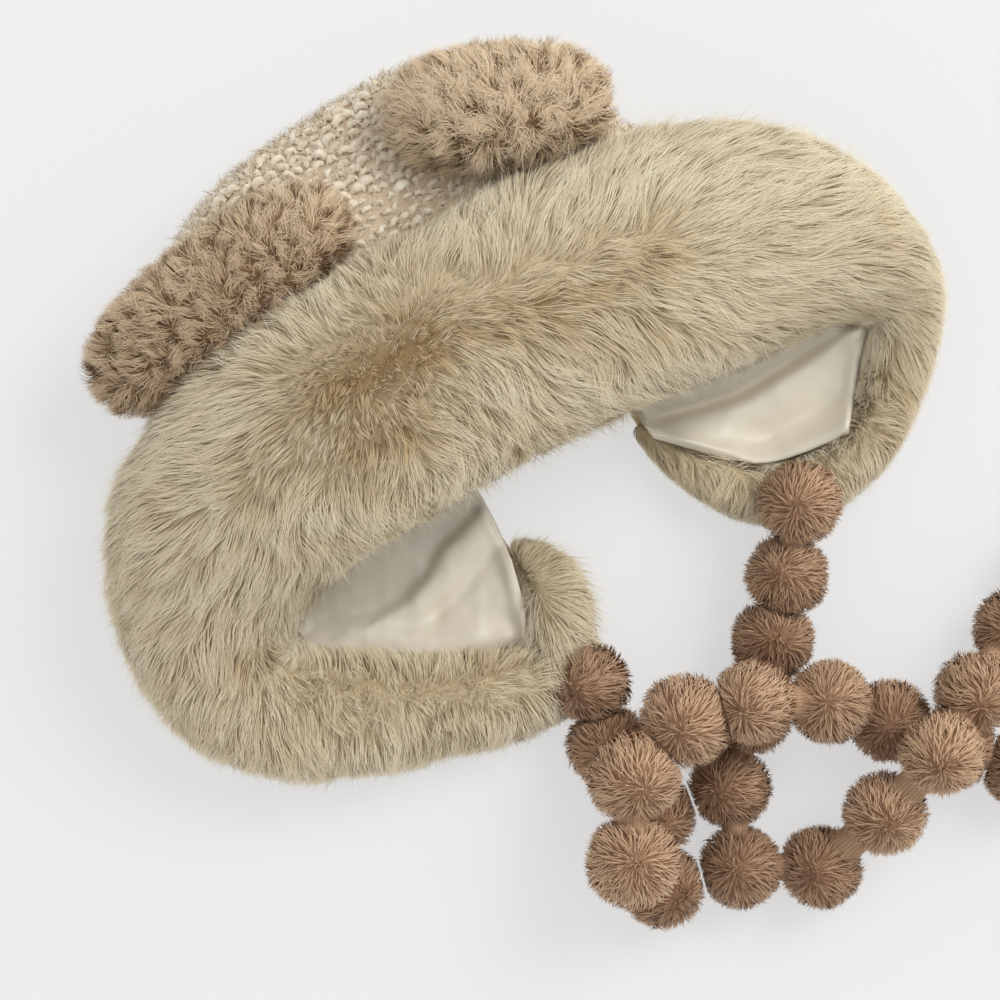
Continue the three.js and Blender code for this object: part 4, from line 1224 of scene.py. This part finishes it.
def build_linings():
    def left_height(p):
        z = 13.0 + 0 * p[..., 0]
        above = 1 / (1 + np.exp(-side_of(p, [(300, 622), (400, 616), (520, 612)]) / 2.2))
        z += step_over(p, [(380, 618), (407, 599), (427, 576), (442, 548), (466, 525), (486, 502)], 6.0, 1.0) * -above
        z += ridge(p, [(437, 614), (462, 590), (478, 568), (492, 548)], -1.8, 3.4)
        z += ridge(p, [(420, 606), (452, 570), (476, 536)], 1.2, 6.0)
        z += ridge(p, [(470, 630), (508, 604), (512, 570)], 1.6, 6.0)
        z += ridge(p, [(350, 634), (420, 640), (500, 634)], 1.6, 4.5)
        z += 0.5 * waves(p.reshape(-1, 2), 24, 8).reshape(p.shape[:2])
        return z

    def left_shade(p):
        # painted shade: greyer where it goes in under the forehead roll, in the roll's shadow
        far = side_of(p, [(380, 618), (407, 599), (427, 576), (442, 548), (466, 525), (486, 502)])
        above = 1 / (1 + np.exp(-side_of(p, [(300, 626), (400, 620), (520, 616)]) / 2.2))
        return 0.98 - 0.32 * above / (1 + np.exp(-far / 1.4)) * (0.55 + 0.45 * np.exp(-np.clip(far, 0, None) / 9))

    def right_height(p):
        z = 12.0 + 0 * p[..., 0]
        z += ridge(p, [(655, 418), (690, 408), (740, 392), (795, 358), (850, 322)], -6.0, 3.0)
        z += ridge(p, [(640, 402), (690, 388), (740, 372), (800, 338)], 3.0, 5.0)
        z += ridge(p, [(690, 436), (740, 412), (800, 376), (850, 340)], 3.4, 7.0)
        z += ridge(p, [(742, 452), (790, 424), (845, 395)], -1.8, 5.0)
        z += ridge(p, [(770, 462), (815, 442), (842, 424)], 2.2, 4.5)
        z += 0.4 * waves(p.reshape(-1, 2), 24, 9).reshape(p.shape[:2])
        return z

    def right_shade(p):
        # painted shade: the upper part, which lies under the forehead roll, is coloured darker
        return 1 - 0.22 / (1 + np.exp(-side_of(p, [(640, 415), (690, 406), (740, 388), (795, 352), (850, 316)]) / 1.6))

    lining("lining_left", [(-118, -54), (-70, -54), (-26, -58)],
           [(-119, -85), (-84, -107), (-42, -123)], 4.0, left_height, left_shade)
    lining("lining_right", [(46, -56), (96, -55), (153.5, -77.5)],
           [(45, -80), (76.5, -112), (112.5, -121.5)], 0.0, right_height, right_shade)


# ----------------------------------------------------------------- pompoms
def sphere_points(count, r):
    k = np.arange(count) + 0.5
    phi = np.arccos(1 - 2 * k / count)
    th = math.pi * (1 + 5**0.5) * k
    p = np.stack([np.cos(th) * np.sin(phi), np.sin(th) * np.sin(phi), np.cos(phi)], -1)
    return unit(p + r.normal(0, 0.03, p.shape))


# Where each pompom's yarn parts, as a step in pixels from its middle (in radii).
PARTINGS = {
    "left_1": (-0.55, 0.35), "left_2": (0.1, 0.3), "left_3": (0.2, 0.5), "left_4": (0.5, 0.3),
    "left_5": (0.15, -0.05), "left_6": (0.20, 0.45), "left_7": (-0.32, 0.30), "left_8": (-0.45, 0.30),
    "left_9": (-0.15, -0.1), "left_10": (-0.1, 0.25), "left_11": (0.0, 0.1), "left_12": (0.2, 0.2),
    "right_1": (-0.20, 0.10), "right_2": (-0.35, -0.05), "right_3": (0.05, -0.1), "right_4": (0.2, 0.2),
    "right_5": (-0.45, 0.15), "right_6": (-0.15, -0.05), "right_7": (-0.35, 0.1), "right_8": (0.0, 0.35),
    "right_9": (-0.1, 0.40), "right_10": (0.1, 0.5), "right_11": (0.0, 0.2), "right_12": (0.2, 0.1),
}


def build_pompoms():
    every = [(side, i, np.array(c, float)) for side in ("left", "right") for i, c in enumerate(POMPOMS[side])]
    where = {(side, i): c for side, i, c in every}
    radii = {key: PUFFIER.get(key, POMPOM_R) for key in where}
    total = 0
    for side, i, c in every:
        r = rng(1000 + (0 if side == "left" else 500) + i)
        big = radii[(side, i)]
        near = [(q, radii[key]) for key, q in where.items()
                if 1e-6 < np.linalg.norm(q - c) < big + radii[key] + 0.3]

        def press(pts, gap):
            """Flat against the neighbours."""
            for q, other in near:
                axis = unit((q - c)[None])[0]
                far = np.linalg.norm(q - c)
                limit = far / 2 + (big**2 - other**2) / (2 * far) - gap
                over = np.clip((pts - c) @ axis - limit, 0, None)
                pts = pts - axis * over[..., None]
            return pts

        batch = Batch()
        s = np.linspace(0.02, math.pi - 0.02, 12)
        a = np.linspace(0, 2 * math.pi, 18, endpoint=False)
        S, A = np.meshgrid(s, a, indexing="ij")
        n = np.stack([np.sin(S) * np.cos(A), np.sin(S) * np.sin(A), np.cos(S)], -1)
        core = press(c + n * (big - 4.2), 2.0)
        f = grid_faces(len(s), len(a), wrap=True)
        if np.dot(np.cross(core[5, 1] - core[5, 0], core[6, 0] - core[5, 0]), n[5, 0]) < 0:
            f = f[:, ::-1]
        uv = np.zeros(core.shape[:2] + (2,))
        uv[..., 0] = 0.6 + 0.01 * (np.arange(len(a)) % 2)
        uv[..., 1] = 0.10 + 0.05 * (np.arange(len(s)) % 2)[:, None]
        batch.add(core, uv, n, None, f)
        # yarn ends fan out from the parting
        count = int(2020 * THIN)
        d = sphere_points(count, r)
        px, py = turned(*PARTINGS[f"{side}_{i + 1}"])
        pole = np.array([px, py, math.sqrt(max(1 - px * px - py * py, 0.05))])
        away = d - (d @ pole)[:, None] * pole
        fan = unit(away - (away * d).sum(1, keepdims=True) * d)
        swirl = 0.5 * waves(d * 17, 18, 1200 + i, 2)[:, None]
        fan = unit(fan + np.cross(d, fan) * swirl + 0.42 * r.normal(size=d.shape))
        close = np.clip(np.linalg.norm(away, axis=1, keepdims=True) * 1.6, 0.25, 1)
        size = 1.0 + 0.035 * waves(d * 17, 12, 60 + i, 2) + 0.03 * r.normal(size=count)
        rr = (big - 0.1) * size
        lean = 0.40 * close * r.uniform(0.4, 1.5, (count, 1))
        root = c + d * (big - 5.0) - fan * 1.5
        p2 = c + unit(d + fan * lean) * rr[:, None]
        p1 = c + unit(d + fan * lean * 0.35) * (rr * 0.93)[:, None]
        p1, p2, guide = clump(root, p1, p2, d, 8, 0.34, r, spread=0.5)
        p1, p2, root = press(p1, 0.25), press(p2, 0.2), press(root, 2.5)
        # painted light: pompoms that lie higher up, and the upper side of each, are coloured lighter where the light
        # falls on them; the yarn is also coloured darker where it parts
        high = np.clip((c[2] - 18) / 28, 0, 1)
        shade = (0.68 - 0.74 * high + 0.26 * (r.random(count)[guide] - 0.5) + 0.14 * r.normal(size=count)
                 - 0.12 * d[:, 2] + 0.18 * (1 - close[:, 0]))
        ribbons(batch, root, p1, p2, unit(d + 0.25 * fan), 0.48 * r.uniform(0.7, 1.3, count), shade.clip(0.02, 0.98), r,
                points=3, twist=0.6, keep=0.78, profile=[1.0, 0.9, 0.3])
        total += batch.triangles()
        name = f"pompom_{side}_{i + 1}"
        ob = batch.mesh(name + "_yarn", [yarn_mat])
        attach(ob, "root")
        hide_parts(name)
    print("pompoms", total)


def build_ties():
    for side in ("left", "right"):
        pts = np.array([SEWN[side], *POMPOMS[side]], float)
        at = np.linspace(0, len(pts) - 1, (len(pts) - 1) * 12 + 1)
        line = np.stack([column(pts[:, k], at) for k in range(3)], -1)
        line = line[: -4]
        t = unit(np.gradient(line, axis=0))
        side_v = unit(np.cross(t, [0, 0, 1.0]))
        up = np.cross(side_v, t)
        batch = Batch()
        sides = 16
        ring = np.linspace(0, 2 * math.pi, sides, endpoint=False)
        rad = 1.5 + 0.18 * np.cos(ring * 8)[None] + 0 * at[: len(line), None]
        ringdir = np.cos(ring)[None, :, None] * side_v[:, None] + np.sin(ring)[None, :, None] * up[:, None]
        p = line[:, None] + ringdir * rad[..., None]
        uv = np.zeros(p.shape[:2] + (2,))
        uv[..., 0] = 0.75 + 0.01 * (np.arange(sides) % 2)
        uv[..., 1] = 0.2 + 0.1 * (np.arange(len(line)) % 2)[:, None]
        f = grid_faces(len(line), sides, wrap=True)
        if np.dot(np.cross(p[5, 1] - p[5, 0], p[6, 0] - p[5, 0]), ringdir[5, 0]) < 0:
            f = f[:, ::-1]
        batch.add(p, uv, ringdir, None, f)
        # the bundle of yarn that shows as a ribbed neck between two pompoms
        for a, b in zip(pts[1:], pts[2:]):
            gap = np.linalg.norm(b - a)
            mid, ax = (a + b) / 2, unit((b - a)[None])[0]
            e1 = unit(np.cross(ax, [0.1, 0.2, 1.0])[None])[0]
            e2 = np.cross(ax, e1)
            ribs = 26
            rr = np.linspace(0, 2 * math.pi, ribs * 2, endpoint=False)
            along = np.linspace(-5.5, 5.5, 6)
            base_r = 6.4 if gap > 2 * POMPOM_R - 3 else 5.2
            rad = base_r + 0.30 * np.cos(rr * ribs)[None] + 0.04 * along[:, None] ** 2
            dirs = np.cos(rr)[:, None] * e1 + np.sin(rr)[:, None] * e2
            q = mid + along[:, None, None] * ax + dirs[None] * rad[..., None]
            f = grid_faces(len(along), len(rr), wrap=True)
            if np.dot(np.cross(q[2, 1] - q[2, 0], q[3, 0] - q[2, 0]), dirs[0]) < 0:
                f = f[:, ::-1]
            uv = np.zeros(q.shape[:2] + (2,))
            uv[..., 0] = 0.5
            # painted shade: the ribs are coloured lighter on their crests and darker in the grooves between them
            uv[..., 1] = 0.35 + 0.35 * (0.5 + 0.5 * np.cos(rr * ribs))[None] + 0.01 * (np.arange(len(along)) % 2)[:, None]
            batch.add(q, uv, np.broadcast_to(dirs[None], q.shape), None, f)
        ob = batch.mesh(f"tie_{side}_cord", [yarn_mat])
        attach(ob, "root")
        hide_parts(f"tie_{side}")


# ------------------------------------------------------------------- scene
def set_camera():
    cam = bpy.data.cameras.new("camera")
    cam.sensor_width = 36.0
    cam.lens = 36.0 * (CAMERA_UP - 40) / (1000 * MM_PER_PX)
    cam.clip_start, cam.clip_end = 0.05, 10
    ob = bpy.data.objects.new("camera", cam)
    cx, cy = turned(500 - MID_U, 500 - MID_V)
    ob.location = ((cx * MM_PER_PX + SHIFT[0]) / 1000, (cy * MM_PER_PX + SHIFT[1]) / 1000, CAMERA_UP / 1000)
    ob.rotation_euler = (0, 0, -TURN)
    bpy.context.scene.collection.objects.link(ob)
    bpy.context.scene.camera = ob


def set_light():
    world = bpy.data.worlds.new("studio")
    world.use_nodes = True
    bg = world.node_tree.nodes["Background"]
    bg.inputs["Color"].default_value = (1.0, 1.0, 1.0, 1)
    bg.inputs["Strength"].default_value = 0.70
    bpy.context.scene.world = world

    def area(name, du, dv, up, size, power, colour=(1, 1, 1)):
        light = bpy.data.lights.new(name, "AREA")
        light.size, light.energy, light.color = size, power, colour
        ob = bpy.data.objects.new(name, light)
        x, y = turned(du, dv)
        ob.location = (x, y, up)
        direction = -np.array([x, y, up - 0.03])
        from mathutils import Vector
        ob.rotation_euler = Vector(direction).to_track_quat("-Z", "Y").to_euler()
        bpy.context.scene.collection.objects.link(ob)

    area("key", 1.9, -1.7, 2.6, 2.0, 68.0, (1.0, 0.985, 0.96))

    me = bpy.data.meshes.new("floor")
    me.from_pydata([(-4, -4, 0), (4, -4, 0), (4, 4, 0), (-4, 4, 0)], [], [(0, 1, 2, 3)])
    floor = bpy.data.objects.new("floor", me)
    mat, nt, shader = new_material("floor", 0.9, 0.1)
    shader.inputs["Base Color"].default_value = (0.30, 0.30, 0.302, 1)
    shader.inputs["Emission Color"].default_value = (1, 1, 1, 1)
    shader.inputs["Emission Strength"].default_value = 0.56
    me.materials.append(mat)
    bpy.context.scene.collection.objects.link(floor)
    bpy.context.scene.view_settings.view_transform = "Standard"
    bpy.context.scene.view_settings.look = "None"


set_camera()
set_light()
build_crown()
build_ears()
build_band()
build_flaps()
build_linings()
build_pompoms()
build_ties()
